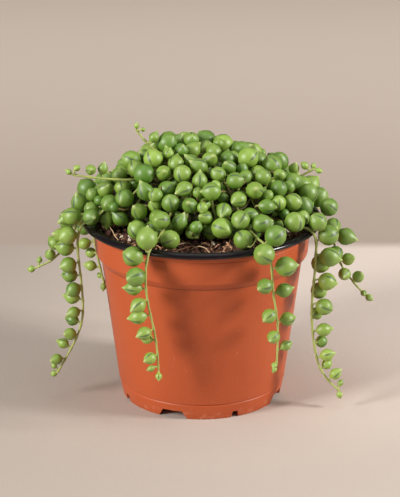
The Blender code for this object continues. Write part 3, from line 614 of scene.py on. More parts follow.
def strewn(name, grain, finish, density, seed, lengths, width, height):
    """Loose grains on the bare mix: so many to the square metre, between these lengths.

    Their width and height are shares of their length.
    """
    smallest, largest = lengths
    obj = add_piece(name, scatter.shape(name, bare_mix(), {
        "Grain": grain, "Density": density, "Seed": seed, "Smallest": smallest, "Largest": largest,
        "Width": width, "Height": height, "Material": finish.material}))
    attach(obj, "root")


def grain_finish(name, dark, light, rough):
    """A finish whose colour runs from dark to light from grain to grain and within each."""
    finish = Finish(name, {"Roughness": rough, "Specular IOR Level": 0.3})
    tone = finish.attribute("tone")
    fleck = finish.cloud(2200, 3)
    finish.shows({"Base Color": finish.blend(tone * 0.6 + fleck * 0.4, dark, light),
                  "Normal": finish.bump(fleck, 0.0002)})
    return finish


crumb_finish = grain_finish("peat crumb", (0.006, 0.0035, 0.003), (0.120, 0.052, 0.036), 0.95)
bark_finish = grain_finish("bark", (0.120, 0.050, 0.028), (0.720, 0.400, 0.240), 0.85)
perlite_finish = grain_finish("perlite", (0.52, 0.40, 0.30), (0.86, 0.75, 0.62), 0.9)
strewn("peat_crumbs", lump("crumb", 0.8, 1), crumb_finish, 210000, 3, (0.0014, 0.0036), 0.75, 0.7)
strewn("bark_chips", lump("chip", 0.5, 2), bark_finish, 34000, 5, (0.0024, 0.0058), 0.55, 0.3)
strewn("bark_shreds", lump("shred", 0.4, 4), bark_finish, 60000, 6, (0.0035, 0.0085), 0.16, 0.12)
strewn("perlite", lump("grain of perlite", 0.5, 3), perlite_finish, 9000, 12, (0.0018, 0.0050), 0.8, 0.7)


# How the plant grows. Eleven stems trail over the rim, three short ones stand clear, and others creep over
# the heap. A stem has a round leaf on a short stalk at each node. Leaves and stems then push each other
# apart, so that none crosses another, and what still touches is trimmed. Sizes here are rules of growth,
# and the sections after this one give the growth its skin.
HEAP_EDGE = 84

# Stems, and the plain holes in the heap that they stand in
STEM_RADIUS = 0.0007
STEM_LIFT = 0.0016
ROUTE_STEPS = 12
CREEPING_INTERNODE = 0.0061
HANGING_INTERNODE = 0.0063
SHORTEST_STEM = 2
ROOT_DEPTH = 0.0045
HOLE_RADIUS = 0.0015

# Leaves: radii from a stem's first to its last, the stalk, the gap kept round each, and how far each
# leans from straight out, in degrees
CREEPER_LEAVES = (0.0048, 0.0044)
TRAIL_LEAVES = (0.0046, 0.0026)
LAST_LEAF = 0.6
PETIOLE = 0.0016
LEAF_GAP = 0.00035
TIP_REACH = 1.14
CREEPING_LEAN = (18, 62)
SIDEWAYS_LEAN = (52, 92)
FLAT_LEAN = (74, 94)
OUTWARD_LEAN = (8, 34)
UPRIGHT_LEAN = (0, 22)
FRONT_LEAN = 0.45
ALONG_STEM = (-0.2, 0.3)
SIZE_VARIES = (0.9, 1.1)
LEAST_SHARE = 0.66
COLLAR_HEIGHT = 0.5
COLLAR_WIDTH = 0.87
STALK_STEPS = (0.2, 0.4, 0.6, 0.8)

# Leaves of the old growth: radii, how far each stands out of the heap, how wide its stalk is beside it,
# and how far down the heap's side they grow, where 1 is its middle and 2 is its underside
BED_TRIES = 250
BED_SIZES = (0.0017, 0.0042)
BED_STANDS = (0.6, 0.25, -0.1)
BED_CROWDING = 0.85
BED_ROOT = 0.0030
BED_STALK = 0.3
BED_REACH = 1.35

# Settling: how many rounds, and how much of each push or pull is made in one round
SEED = 29
SETTLE_ROUNDS = 140
LEAF_PUSH = 0.4
LEAF_OFF_STEM = 0.5
STEM_OFF_LEAF = 0.3
OFF_HEAP = 0.6
STEM_PUSH = 0.6
STRETCH_OF_NEXT = 0.6
STRETCH_OF_LAST = 0.3
STEM_SMOOTHING = 0.08
STEM_RETURN = 0.06
LEAF_RETURN = 0.05
STALK_PULL = 0.7
STEM_REACH = 0.0042

# Where a hanging stem crosses the rim, as radius and height
OVER_RIM = ((0.0455, 0.0880), (0.0520, 0.0884), (0.0564, 0.0864))

# What stems and leaves lie against round the pot, in cross-section: each is a line from one radius
# and height to another, and how far its surface stands off it. The first is the rim.
POT_SURFACES = [(Vector((*start, 0)), Vector((*end, 0)), stands_off) for start, end, stands_off in (
    ((0.0516, 0.0820), (0.0513, 0.0812), 0.0042),
    (BAND_TOP, BAND_BASE, 0.0002),
    (BAND_BASE, BODY_TOP, 0.0002),
    (BODY_TOP, BODY_BASE, 0.0002),
)]
MIX_RADIUS = 0.0478

# Stems that trail over the rim: name, start on the heap in degrees, points below the rim in
# millimetres, the side of the leaves, and how far they lean to it. The first seven follow the photo,
# the last four are guessed.
TRAILS = (
    ("trail_front_left", 44,
     ((-24.5, -53.8, 80), (-24.5, -53.8, 68), (-22.5, -53.8, 58), (-20, -53.4, 46), (-19, -53.4, 30)), 1,
     SIDEWAYS_LEAN),
    ("trail_front_right", 40,
     ((30.5, -50, 80), (31, -50, 67), (33.5, -50, 53), (33.5, -50, 42), (33, -50, 31)), 0, SIDEWAYS_LEAN),
    ("trail_right", 52,
     ((51, -25, 80), (51, -25, 69), (49.5, -25, 52), (50.5, -25, 34), (54, -25, 18), (62, -25, 10)), -1,
     SIDEWAYS_LEAN),
    ("trail_right_outer", 60,
     ((59, -4, 81), (61, -4, 70), (65, -4, 60), (77.5, -4, 45.5)), 1, SIDEWAYS_LEAN),
    ("trail_left_long", 52,
     ((-56.5, -14, 81), (-56, -14, 70), (-54.5, -14, 55), (-55, -14, 36), (-68, -14, 11)), 0, OUTWARD_LEAN),
    ("trail_left_outer", 62, ((-58, -2, 79), (-66, -4, 66), (-76, -5, 62)), 0, OUTWARD_LEAN),
    ("trail_left_back", 54, ((-53, 23, 80), (-51, 23, 68), (-49, 23, 56), (-46.5, 23, 45)), 0, OUTWARD_LEAN),
    ("trail_back_left", 56,
     ((-37, 44.5, 80), (-36, 44.5, 64), (-33, 45, 44), (-33, 45, 28)), 0, SIDEWAYS_LEAN),
    ("trail_back", 50, ((-20, 53, 80), (-19, 53, 60), (-15, 53, 38), (-17, 52, 26)), 0, FLAT_LEAN),
    ("trail_back_right", 54, ((24, 52, 80), (24, 52, 62), (27, 51, 36)), 0, FLAT_LEAN),
    ("trail_right_back", 58, ((46, 35, 80), (45, 36, 64)), 1, SIDEWAYS_LEAN),
)

# Shoots that stand clear of the heap: name, where each starts on the heap in degrees, the points
# after it in millimetres, the first node with a leaf, and the sizes of the first and last leaf
SHOOTS = (
    ("shoot_left", (-144, 52),
     ((-33, -14, 103.5), (-42, -15, 107.5), (-52, -15, 108.5), (-57, -15, 109.5)), 5, (0.0030, 0.0026)),
    ("shoot_top", (178, 28), ((-22.5, 8, 113.5), (-27.5, 8, 120.5), (-30.5, 8, 125)), 3, (0.0026, 0.0018)),
    ("shoot_right", (4, 80), ((46.5, 10, 100.5), (53.5, 10, 107.5)), 1, (0.0027, 0.0034)),
)

# Creeping stems: azimuth, and where each starts and ends on the heap, all in degrees
CREEPERS = (
    (20, 10, 70), (78, 12, 96), (130, 10, 70), (185, 12, 72), (-128, 8, 70), (-88, 16, 74), (-50, 8, 70),
    (48, 40, 98), (92, 52, 98), (118, 42, 98), (-150, 44, 100), (-33, 46, 100),
    (-138, 68, 112), (-101, 60, 114), (-78, 60, 114), (-46, 70, 112),
)
CREEPER_SWIRL = 5
CREEPER_POINTS = 6


def on_heap(direction, grow=0.0):
    """The point on the heap's grown surface in this direction from its centre."""
    return HEAP_CENTRE + direction / heap_share(HEAP_CENTRE + direction, grow)


class Leaf:
    """One round leaf: a bead on a short stalk from a stem's node.

    The rule also draws how each is turned on its stalk. Only the solids show it, but the draw is made here
    too, so that the draws after it stay the same.
    """

    def __init__(self, node, centre, radius, source):
        source.uniform(0, math.tau)
        self.node = node
        self.centre = centre
        self.home = centre.copy()
        self.radius = radius
        self.full_radius = radius
        self.tip = TIP_REACH


class Strand:
    """One leafy stem: its nodes, an internode apart, and its leaves."""

    def __init__(self, name, route, internode, hanging_from, on_mound):
        self.name = name
        self.internode = internode
        self.nodes = route
        self.home = [p.copy() for p in route]
        self.hanging_from = hanging_from
        self.on_mound = on_mound
        self.leaves = []
        self.root = route[0]


def curve_through(points, steps):
    """A Catmull-Rom curve through the points, with so many steps between each two."""
    ends = [points[0] * 2 - points[1], *points, points[-1] * 2 - points[-2]]
    fine = []
    for a, b, c, d in zip(ends, ends[1:], ends[2:], ends[3:]):
        for i in range(steps):
            t = i / steps
            bend = (2 * a - 5 * b + 4 * c - d) * t**2 + (3 * b - a - 3 * c + d) * t**3
            fine.append(b + ((c - a) * t + bend) / 2)
    return [*fine, points[-1]]


def smooth_route(points, internode):
    """Points an internode apart along a curve through the given ones."""
    fine = curve_through(points, ROUTE_STEPS)
    route = [fine[0].copy()]
    for point in fine[1:]:
        while (point - route[-1]).length >= internode:
            route.append(route[-1].lerp(point, internode / (point - route[-1]).length))
    return route


def creeping_route(azimuth, polar_start, polar_end, swirl):
    """Down the heap's side, from near its top towards the mix."""
    points = []
    for i in range(CREEPER_POINTS):
        t = i / (CREEPER_POINTS - 1)
        polar = polar_start + (polar_end - polar_start) * t
        points.append(on_heap(towards(azimuth + swirl * math.sin(t * math.pi), polar), STEM_LIFT))
    return smooth_route(points, CREEPING_INTERNODE)


def hanging_route(polar_start, below_rim):
    """From the heap over the rim, then through the given points in millimetres."""
    hanging = [Vector(p) / 1000 for p in below_rim]
    out = Vector((hanging[0].x, hanging[0].y, 0)).normalized()
    rim = [out * r + Vector((0, 0, z)) for r, z in OVER_RIM]
    to_rim = rim[0] - HEAP_CENTRE
    azimuth = math.degrees(math.atan2(to_rim.y, to_rim.x))
    polars = (polar_start, (polar_start + HEAP_EDGE) / 2, HEAP_EDGE)
    on_top = [on_heap(towards(azimuth, polar), STEM_LIFT) for polar in polars]
    return smooth_route(on_top + rim + hanging, HANGING_INTERNODE)


def add_leaves(strand, source, sizes, side, first, leans, up=None):
    """Leaves at every node, to both sides in turn, or to one side where side is -1 or 1.

    They lean over from straight out, by so much before the stem hangs and by so much after it. On one
    side, the leaf that lies on the rim faces further out than the next, and so on in turn.
    """
    big, small = sizes
    count = len(strand.nodes)
    for i in range(first, count):
        before = min(i, count - 2)
        ahead = (strand.nodes[before + 1] - strand.nodes[before]).normalized()
        hanging = i >= strand.hanging_from
        out = up or (strand.nodes[i] - HEAP_CENTRE)
        if hanging:
            out = Vector((strand.nodes[i].x, strand.nodes[i].y, 0))
        out = (out - ahead * out.dot(ahead)).normalized()
        across = ahead.cross(out)
        turn = side or (1 if i % 2 else -1)
        lean = math.radians(source.uniform(*leans[hanging]))
        past_rim = i + 1 - strand.hanging_from
        if side and past_rim >= 0 and past_rim % 2 == 0:
            lean *= FRONT_LEAN
        start = strand.hanging_from if strand.hanging_from < count else first
        t = max(0, i - start) / max(1, count - 1 - start)
        radius = (big + (small - big) * t) * source.uniform(*SIZE_VARIES)
        if i == count - 1 and not strand.on_mound:
            radius *= LAST_LEAF
        direction = out * math.cos(lean) + across * turn * math.sin(lean)
        direction += ahead * source.uniform(*ALONG_STEM)
        centre = strand.nodes[i] + direction.normalized() * (radius + PETIOLE)
        strand.leaves.append(Leaf(i, centre, radius, source))


def grow():
    """Every leafy stem, before it settles."""
    source = random.Random(SEED)
    strands = []
    for name, start, below_rim, side, lean in TRAILS:
        route = hanging_route(start, below_rim)
        over = next(i for i, p in enumerate(route) if math.hypot(p.x, p.y) > RIM_RADIUS)
        strand = Strand(name, route, HANGING_INTERNODE, over, False)
        add_leaves(strand, source, TRAIL_LEAVES, side, 1, (CREEPING_LEAN, lean))
        strands.append(strand)
    for name, (azimuth, polar), points, first, sizes in SHOOTS:
        start = on_heap(towards(azimuth, polar), STEM_LIFT)
        route = smooth_route([start, *[Vector(p) / 1000 for p in points]], CREEPING_INTERNODE)
        strand = Strand(name, route, CREEPING_INTERNODE, len(route), False)
        add_leaves(strand, source, sizes, 0, first, (UPRIGHT_LEAN, UPRIGHT_LEAN), Vector((0, 0, 1)))
        strands.append(strand)
    for azimuth, start, end in CREEPERS:
        route = creeping_route(azimuth, start, end, source.uniform(-CREEPER_SWIRL, CREEPER_SWIRL))
        strand = Strand("creeper", route, CREEPING_INTERNODE, len(route), True)
        add_leaves(strand, source, CREEPER_LEAVES, 0, 1, (CREEPING_LEAN, CREEPING_LEAN))
        strands.append(strand)
    return strands


def clear_of_pot(point, radius):
    """The point moved so that a ball of this radius clears the mix, the rim and the pot's wall."""
    distance = math.hypot(point.x, point.y)
    if distance < MIX_RADIUS:
        point.z = max(point.z, MIX_TOP + MIX_LUMP + radius + LEAF_GAP)
    if not distance:
        return
    flat = Vector((distance, point.z, 0))
    for start, end, stands_off in POT_SURFACES:
        near, _ = nearest_on(start, end, flat)
        need = radius + stands_off + LEAF_GAP
        gap = (flat - near).length
        if 1e-9 < gap < need:
            flat = near + (flat - near) * (need / gap)
    point.x *= flat.x / distance
    point.y *= flat.x / distance
    point.z = flat.y


def clear_of_heap(point, radius):
    """The point moved out until a ball of this radius clears the heap."""
    share = heap_share(point, radius + LEAF_GAP)
    if 0 < share < 1 and point.z > HEAP_BASE:
        point += (point - HEAP_CENTRE) * (1 / share - 1) * OFF_HEAP


def nearest_on(a, b, point):
    """The point of segment a-b nearest to the given one, and how far along it lies."""
    _, share = intersect_point_line(point, a, b)
    share = max(0.0, min(1.0, share))
    return a.lerp(b, share), share


def off_segment(a, b, point):
    """How far the point is from segment a-b."""
    return (nearest_on(a, b, point)[0] - point).length


def nearest_between(a, b, c, d):
    """The nearest points of segments a-b and c-d, with the share of the way to each."""
    found = []
    for start in (0, 0.25, 0.5, 0.75, 1):
        point = c.lerp(d, start)
        for _ in range(2):
            near, share = nearest_on(a, b, point)
            point, other_share = nearest_on(c, d, near)
        found.append(((near - point).length, near, share, point, other_share))
    return min(found, key=lambda pair: pair[0])


def push_segment(s, i, share, push):
    """Moves segment i of the stem by the push at this share of its length. The first node stays."""
    if i > 0:
        s.nodes[i] += push * (1 - share)
    s.nodes[i + 1] += push * share


def part_stems(s, i, other, m):
    """Pushes segment i of one stem and segment m of another apart, if they are too near."""
    gap, near, share, far, other_share = nearest_between(s.nodes[i], s.nodes[i + 1],
                                                         other.nodes[m], other.nodes[m + 1])
    need = STEM_RADIUS * 2 + LEAF_GAP
    if 1e-7 < gap < need:
        push = (near - far).normalized() * (need - gap) * STEM_PUSH
        push_segment(s, i, share, push)
        push_segment(other, m, other_share, -push)


def tree_of(points):
    tree = KDTree(len(points))
    for k, point in enumerate(points):
        tree.insert(point, k)
    tree.balance()
    return tree


def relax_stem(s):
    """Keeps the stem's internodes at their length and its line smooth and near its own route."""
    for i in range(1, len(s.nodes)):
        a, b = s.nodes[i - 1], s.nodes[i]
        stretch = (b - a) * (1 - s.internode / (b - a).length)
        s.nodes[i] = b - stretch * STRETCH_OF_NEXT
        if i > 1:
            s.nodes[i - 1] = a + stretch * STRETCH_OF_LAST
    for i in range(1, len(s.nodes) - 1):
        middle = (s.nodes[i - 1] + s.nodes[i + 1]) / 2
        s.nodes[i] = s.nodes[i].lerp(middle, STEM_SMOOTHING).lerp(s.home[i], STEM_RETURN)


def part_leaves(leaves):
    """Leaves that press together push each other apart."""
    tree = tree_of([leaf.centre for _, leaf in leaves])
    widest = max(leaf.radius for _, leaf in leaves)
    for k, (_, leaf) in enumerate(leaves):
        for _, j, _ in tree.find_range(leaf.centre, leaf.radius + widest + LEAF_GAP):
            if j <= k:
                continue
            other = leaves[j][1]
            away = leaf.centre - other.centre
            need = leaf.radius + other.radius + LEAF_GAP
            if 0 < away.length < need:
                push = away.normalized() * (need - away.length) * LEAF_PUSH
                leaf.centre += push
                other.centre -= push


def part_from_stems(leaves, runs):
    """Leaves and stems push each other apart, then stems push other stems."""
    tree = tree_of([(s.nodes[i] + s.nodes[i + 1]) / 2 for s, i in runs])
    for s, leaf in leaves:
        for _, k, _ in tree.find_range(leaf.centre, leaf.radius + STEM_REACH):
            owner, i = runs[k]
            if owner is s and i in (leaf.node, leaf.node - 1):
                continue
            near, share = nearest_on(owner.nodes[i], owner.nodes[i + 1], leaf.centre)
            away = leaf.centre - near
            need = leaf.radius + STEM_RADIUS + LEAF_GAP
            if 0 < away.length < need:
                push = away.normalized() * (need - away.length)
                leaf.centre += push * LEAF_OFF_STEM
                push_segment(owner, i, share, push * -STEM_OFF_LEAF)
    for k, (s, i) in enumerate(runs):
        for _, j, _ in tree.find_range((s.nodes[i] + s.nodes[i + 1]) / 2, HANGING_INTERNODE):
            other, m = runs[j]
            if j > k and other is not s:
                part_stems(s, i, other, m)


def leaves_on(strands):
    return [(s, leaf) for s in strands for leaf in s.leaves]


def settle(strands):
    """Leaves push each other and the stems apart, while each stays on its stalk's length."""
    leaves = leaves_on(strands)
    runs = [(s, i) for s in strands for i in range(len(s.nodes) - 1)]
    for _ in range(SETTLE_ROUNDS):
        for s in strands:
            relax_stem(s)
        part_leaves(leaves)
        part_from_stems(leaves, runs)
        for s, leaf in leaves:
            node = s.nodes[leaf.node]
            stalk = leaf.centre - node
            stretch = (leaf.radius + PETIOLE) / stalk.length - 1
            leaf.centre = node + stalk * (1 + stretch * STALK_PULL)
            if not s.on_mound and leaf.node >= s.hanging_from:
                leaf.centre = leaf.centre.lerp(leaf.home, LEAF_RETURN)
            clear_of_heap(leaf.centre, leaf.radius)
            clear_of_pot(leaf.centre, leaf.radius)
        for s in strands:
            for node in s.nodes[1:]:
                clear_of_heap(node, STEM_RADIUS)
                clear_of_pot(node, STEM_RADIUS)


def stem_runs(strand):
    """The stem's stretches as pairs of ends, from its root on, with the number of the node after each."""
    points = [strand.root, *strand.nodes]
    return [(a, b, k) for k, (a, b) in enumerate(zip(points, points[1:]))]


def cut_crossings(strands):
    """Where two stems still touch, the later one ends before it."""
    kept = []
    for s in strands:
        end = len(s.nodes)
        for other in kept:
            for a, b, k in stem_runs(s):
                for c, d, _ in stem_runs(other):
                    close = (a - c).length < HANGING_INTERNODE * 2
                    if close and nearest_between(a, b, c, d)[0] < STEM_RADIUS * 2 + LEAF_GAP / 2:
                        end = min(end, k)
        if end >= SHORTEST_STEM:
            s.nodes = s.nodes[:end]
            s.leaves = [leaf for leaf in s.leaves if leaf.node < end]
            kept.append(s)
    strands[:] = kept


def shrink_pressed(strands):
    """Leaves that still press on a leaf, a stem, the heap or the pot are made smaller."""
    leaves = leaves_on(strands)
    for _ in range(3):
        for k, (_, leaf) in enumerate(leaves):
            for _, other in leaves[k + 1:]:
                room = (leaf.centre - other.centre).length - LEAF_GAP
                share = min(1, room / (leaf.radius + other.radius))
                leaf.radius *= share
                other.radius *= share
    for s, leaf in leaves:
        for owner in strands:
            for a, b, k in stem_runs(owner):
                if owner is not s or k not in (leaf.node, leaf.node + 1):
                    room = off_segment(a, b, leaf.centre) - STEM_RADIUS - SKIN_GAP - LEAF_GAP
                    leaf.radius = min(leaf.radius, room)
        leaf.radius = min(heap_room(leaf), pot_room(leaf))


def balls_of(s, leaf):
    """The leaf as balls: its bead, then its stalk, which widens from the node up to the bead's collar."""
    node = s.nodes[leaf.node]
    collar = leaf.centre.lerp(node, COLLAR_HEIGHT * leaf.radius / (leaf.centre - node).length)
    stalk = [(node.lerp(collar, t), leaf.radius * COLLAR_WIDTH * t) for t in STALK_STEPS]
    return [(leaf.centre, leaf.radius), *stalk]


def meets_stem(balls, a, b):
    return any(off_segment(a, b, centre) < radius + STEM_RADIUS + SKIN_GAP / 2 for centre, radius in balls)


def keep_free_leaves(strands):
    """Drops each leaf that meets another stem, or a leaf that another stem keeps."""
    kept = []
    for s in strands:
        runs = [(a, b) for other in strands if other is not s for a, b, _ in stem_runs(other)]
        free = []
        for leaf in s.leaves:
            balls = balls_of(s, leaf)
            reach = leaf.radius * 2 + PETIOLE
            near_runs = [(a, b) for a, b in runs if (a - leaf.centre).length < reach + HANGING_INTERNODE]
            near_balls = [ball for ball in kept if (ball[0] - leaf.centre).length < reach * 2]
            on_stem = any(meets_stem(balls, a, b) for a, b in near_runs)
            on_leaf = any((c - d).length < r + q for c, r in balls for d, q in near_balls)
            if not on_stem and not on_leaf:
                free.append(leaf)
        s.leaves = free
        kept += [ball for leaf in free for ball in balls_of(s, leaf)]


def blunt_tips(strands):
    """A leaf whose tip would touch another leaf or stem has none."""
    leaves = leaves_on(strands)
    for s, leaf in leaves:
        tip = leaf.centre + (leaf.centre - s.nodes[leaf.node]).normalized() * leaf.radius * TIP_REACH
        for other_strand, other in leaves:
            if other is not leaf and (tip - other.centre).length < HANGING_INTERNODE * 2:
                if any((tip - c).length < r + LEAF_GAP for c, r in balls_of(other_strand, other)):
                    leaf.tip = 1.0
        point = [(tip, STEM_RADIUS)]
        for owner in strands:
            if owner is not s and any(meets_stem(point, a, b) for a, b, _ in stem_runs(owner)):
                leaf.tip = 1.0


def heap_room(leaf):
    """How large the leaf may be before it meets the heap."""
    radius = leaf.radius
    while radius > 0 and heap_share(leaf.centre, radius + LEAF_GAP) < 1 and leaf.centre.z > HEAP_BASE:
        radius -= 0.0001
    return radius


def pot_room(leaf):
    """How large the leaf may be before it meets the pot or the mix."""
    distance = math.hypot(leaf.centre.x, leaf.centre.y)
    flat = Vector((distance, leaf.centre.z, 0))
    room = leaf.radius
    if distance < MIX_RADIUS:
        room = min(room, leaf.centre.z - MIX_TOP - MIX_LUMP - SKIN_GAP)
    for start, end, stands_off in POT_SURFACES:
        room = min(room, off_segment(start, end, flat) - stands_off - SKIN_GAP)
    return room


def settle_in(strands):
    """Roots every stem in the heap, settles them all, and trims what still touches."""
    for s in strands:
        inward = (HEAP_CENTRE - s.nodes[0]).normalized()
        s.root = s.nodes[0] + inward * (STEM_LIFT + ROOT_DEPTH)
    settle(strands)
    cut_crossings(strands)
    shrink_pressed(strands)
    for s in strands:
        s.leaves = [leaf for leaf in s.leaves if leaf.radius > LEAST_SHARE * leaf.full_radius]
    keep_free_leaves(strands)
    blunt_tips(strands)
    strands[:] = [s for s in strands if len(s.leaves) > 1]
    for k, s in enumerate([s for s in strands if s.on_mound]):
        s.name = f"creeper_{k + 1}"


def bed_room(leaf, young, segments, bed):
    """How large a leaf of the old growth may be at this place."""
    room = leaf.radius
    stalk = (leaf.home + leaf.centre) / 2
    for other in young:
        room = min(room, (other.centre - leaf.centre).length - other.radius * other.tip - LEAF_GAP)
    for other in bed:
        room = min(room, (other.centre - leaf.centre).length / BED_CROWDING - other.radius)
    for a, b, clear in segments:
        room = min(room, off_segment(a, b, leaf.centre) - clear)
        room = min(room, (off_segment(a, b, stalk) - clear) / BED_STALK)
    return min(room, pot_room(leaf))


def bed_leaves(strands):
    """Leaves of the old growth: they fill the heap's surface between the younger stems."""
    source = random.Random(SEED + 1)
    young = [leaf for s in strands for leaf in s.leaves]
    segments = [(a, b, STEM_RADIUS + LEAF_GAP if k else HOLE_RADIUS + LEAF_GAP)
                for s in strands for a, b, k in stem_runs(s)]
    small, large = BED_SIZES
    bed = []
    golden = 180 * (3 - math.sqrt(5))
    for stand in BED_STANDS:
        for k in range(BED_TRIES):
            polar = math.degrees(math.acos(1 - BED_REACH * (k + 0.5) / BED_TRIES))
            outward = towards(golden * k, polar)
            surface = on_heap(outward)
            wanted = source.uniform(small, large)
            leaf = Leaf(0, surface + outward * wanted * stand, wanted, source)
            leaf.home = surface - outward * BED_ROOT
            leaf.radius = bed_room(leaf, young, segments, bed)
            if leaf.radius > small:
                bed.append(leaf)
    return bed


strands = grow()
settle_in(strands)


# Leafy stems. The stems are 1.3 mm across, brownish where they are old and yellow-green towards their
# tips, with a knuckle at each node. Each leaf is a water-filled bead on a short stalk. It ends in a small
# pale point, and a dark window, which lets light in, runs down its sunny side.
LEAF_FORMS = {
    "Round leaf": ((-1.02, 0), (-0.93, 0.36), (-0.68, 0.72), (-0.28, 0.955), (0.15, 0.985), (0.54, 0.84),
                   (0.84, 0.53), (1.0, 0.2), (1.13, 0)),
    "Pointed leaf": ((-1.02, 0), (-0.92, 0.36), (-0.66, 0.73), (-0.22, 0.965), (0.2, 0.965), (0.57, 0.78),
                     (0.86, 0.49), (1.06, 0.2), (1.3, 0)),
    "Young leaf": ((-1.08, 0), (-0.92, 0.3), (-0.6, 0.66), (-0.15, 0.88), (0.3, 0.83), (0.72, 0.56),
                   (1.08, 0.22), (1.42, 0)),
}
ROUND, POINTED, YOUNG = 1, 2, 3
HEAP_LEAVES = (ROUND, ROUND, ROUND, POINTED)
STRING_LEAVES = (POINTED, POINTED, POINTED, ROUND)
LEAF_SEGMENTS = 12
STEM_SIDES = 6

# A stalk: how far along it each value holds, its radii, how fresh it is, where it meets the leaf in
# shares of the leaf's radius, and how far it bends to meet it
STALK_AT = (0, 0.35, 0.7, 1)
STALK_RADII = (0.00042, 0.00036, 0.00042, 0.00062)
STALK_TONES = (0.62, 0.75, 0.85, 0.9)
STALK_END = 0.92
STALK_BEND = 0.55

# A stem: its radius at the root, what it loses towards its end, its knuckles, how far its end reaches
# past the last node, and how old it looks at its root
STEM_AT_ROOT = 0.00072
STEM_THINS = 0.00024
KNUCKLE = 1.22
BETWEEN_KNUCKLES = 0.94
STEM_STEPS = 3
STEM_END = 0.0012
STEM_END_THINS = 0.4
OLD_AT_ROOT = (0.55, 1.0)
YOUNG_AT_ROOT = (0.2, 0.5)
AGE_FADES = 1.3
OLD_STALKS = 0.45

# A leaf: which way it points on the heap, how far it droops on a string, how far its window strays from
# the light, and how bright it is
SUNWARD = Vector((0, 0, 0.3))
POINTS_OUT = 0.5
POINTS_ASIDE = 0.7
DROOP = (-0.1, 0.5)
WINDOW_STRAYS = 0.5
LEAF_TONES = (0.15, 0.6)
BRIGHTER_AT_END = 0.35
BRIGHTER_ON_STRING = 0.1

# Towards a string's end: how many leaves are young and how many bright, and the buds
YOUNG_LEAVES = 7
BRIGHT_LEAVES = 4
BUDS = 3
BUD_TRIES = 9
BUD_RADII = (0.0010, 0.0019)
BUD_AHEAD = (0.8, 2.0)
BUD_SPREAD = 0.002
BUD_STALK = 0.0008
BUD_ROOM = 1.1
BUD_TONES = (0.7, 1)


def leaf_form(name, profile):
    """A leaf of radius 1 about +Z. Its attribute place holds where each point is on it."""
    bm = bmesh.new()
    points = [bm.verts.new((r, 0, z)) for z, r in profile]
    edges = [bm.edges.new(pair) for pair in zip(points, points[1:])]
    bmesh.ops.spin(bm, geom=points + edges, axis=(0, 0, 1), angle=math.tau, steps=LEAF_SEGMENTS,
                   use_merge=True)
    bmesh.ops.remove_doubles(bm, verts=bm.verts, dist=0.001)
    bmesh.ops.recalc_face_normals(bm, faces=bm.faces)
    mesh = plain(bm, name, math.pi)
    place = mesh.attributes.new("place", "FLOAT_VECTOR", "POINT")
    for item, v in zip(place.data, mesh.vertices):
        item.vector = v.co
    return bpy.data.objects.new(name, mesh)


leafy = Shaper("leafy stem", {**dict.fromkeys(LEAF_FORMS, "Object"), "Sides": "Int",
                              "Leaf skin": "Material", "Stem skin": "Material"})
given = leafy.given


def held(name, kind="FLOAT"):
    return leafy.node("GeometryNodeInputNamedAttribute", {"data_type": kind}, {"Name": name})


def points_of_kind(kind):
    same = leafy.node("FunctionNodeCompare", {"operation": "EQUAL"},
                      {"A": held("kind"), "B": float(kind), "Epsilon": 0.1})
    return leafy.node("GeometryNodeSeparateGeometry", {}, {"Geometry": given["Geometry"], "Selection": same})


def leaves_of_kind(kind, form):
    turn = leafy.node("FunctionNodeEulerToRotation", {}, {"Euler": held("turn", "FLOAT_VECTOR")})
    shape = leafy.node("GeometryNodeObjectInfo", {}, {"Object": given[form]}, "Geometry")
    return leafy.node("GeometryNodeInstanceOnPoints", {},
                      {"Points": points_of_kind(kind), "Instance": shape, "Rotation": turn,
                       "Scale": held("size")})


lines = leafy.node("GeometryNodeMeshToCurve", {}, {"Mesh": points_of_kind(0)})
ring = leafy.node("GeometryNodeCurvePrimitiveCircle", {}, {"Resolution": given["Sides"], "Radius": 1.0})
tubes = leafy.node("GeometryNodeCurveToMesh", {},
                   {"Curve": lines, "Profile Curve": ring, "Scale": held("size"), "Fill Caps": True})
beads = [leaves_of_kind(kind, form) for kind, form in enumerate(LEAF_FORMS, 1)]
every = leafy.node("GeometryNodeJoinGeometry", {}, {"Geometry": [*beads, tubes]})
real = leafy.node("GeometryNodeRealizeInstances", {}, {"Geometry": every})
solid = leafy.node("GeometryNodeSetShadeSmooth", {}, {"Geometry": real})
skinned = leafy.node("GeometryNodeSetMaterial", {}, {"Geometry": solid, "Material": given["Stem skin"]})
is_leaf = leafy.node("FunctionNodeCompare", {"operation": "GREATER_THAN"}, {"A": held("kind"), "B": 0.5})
leafy.ends_in(leafy.node("GeometryNodeSetMaterial", {},
                         {"Geometry": skinned, "Selection": is_leaf, "Material": given["Leaf skin"]}))


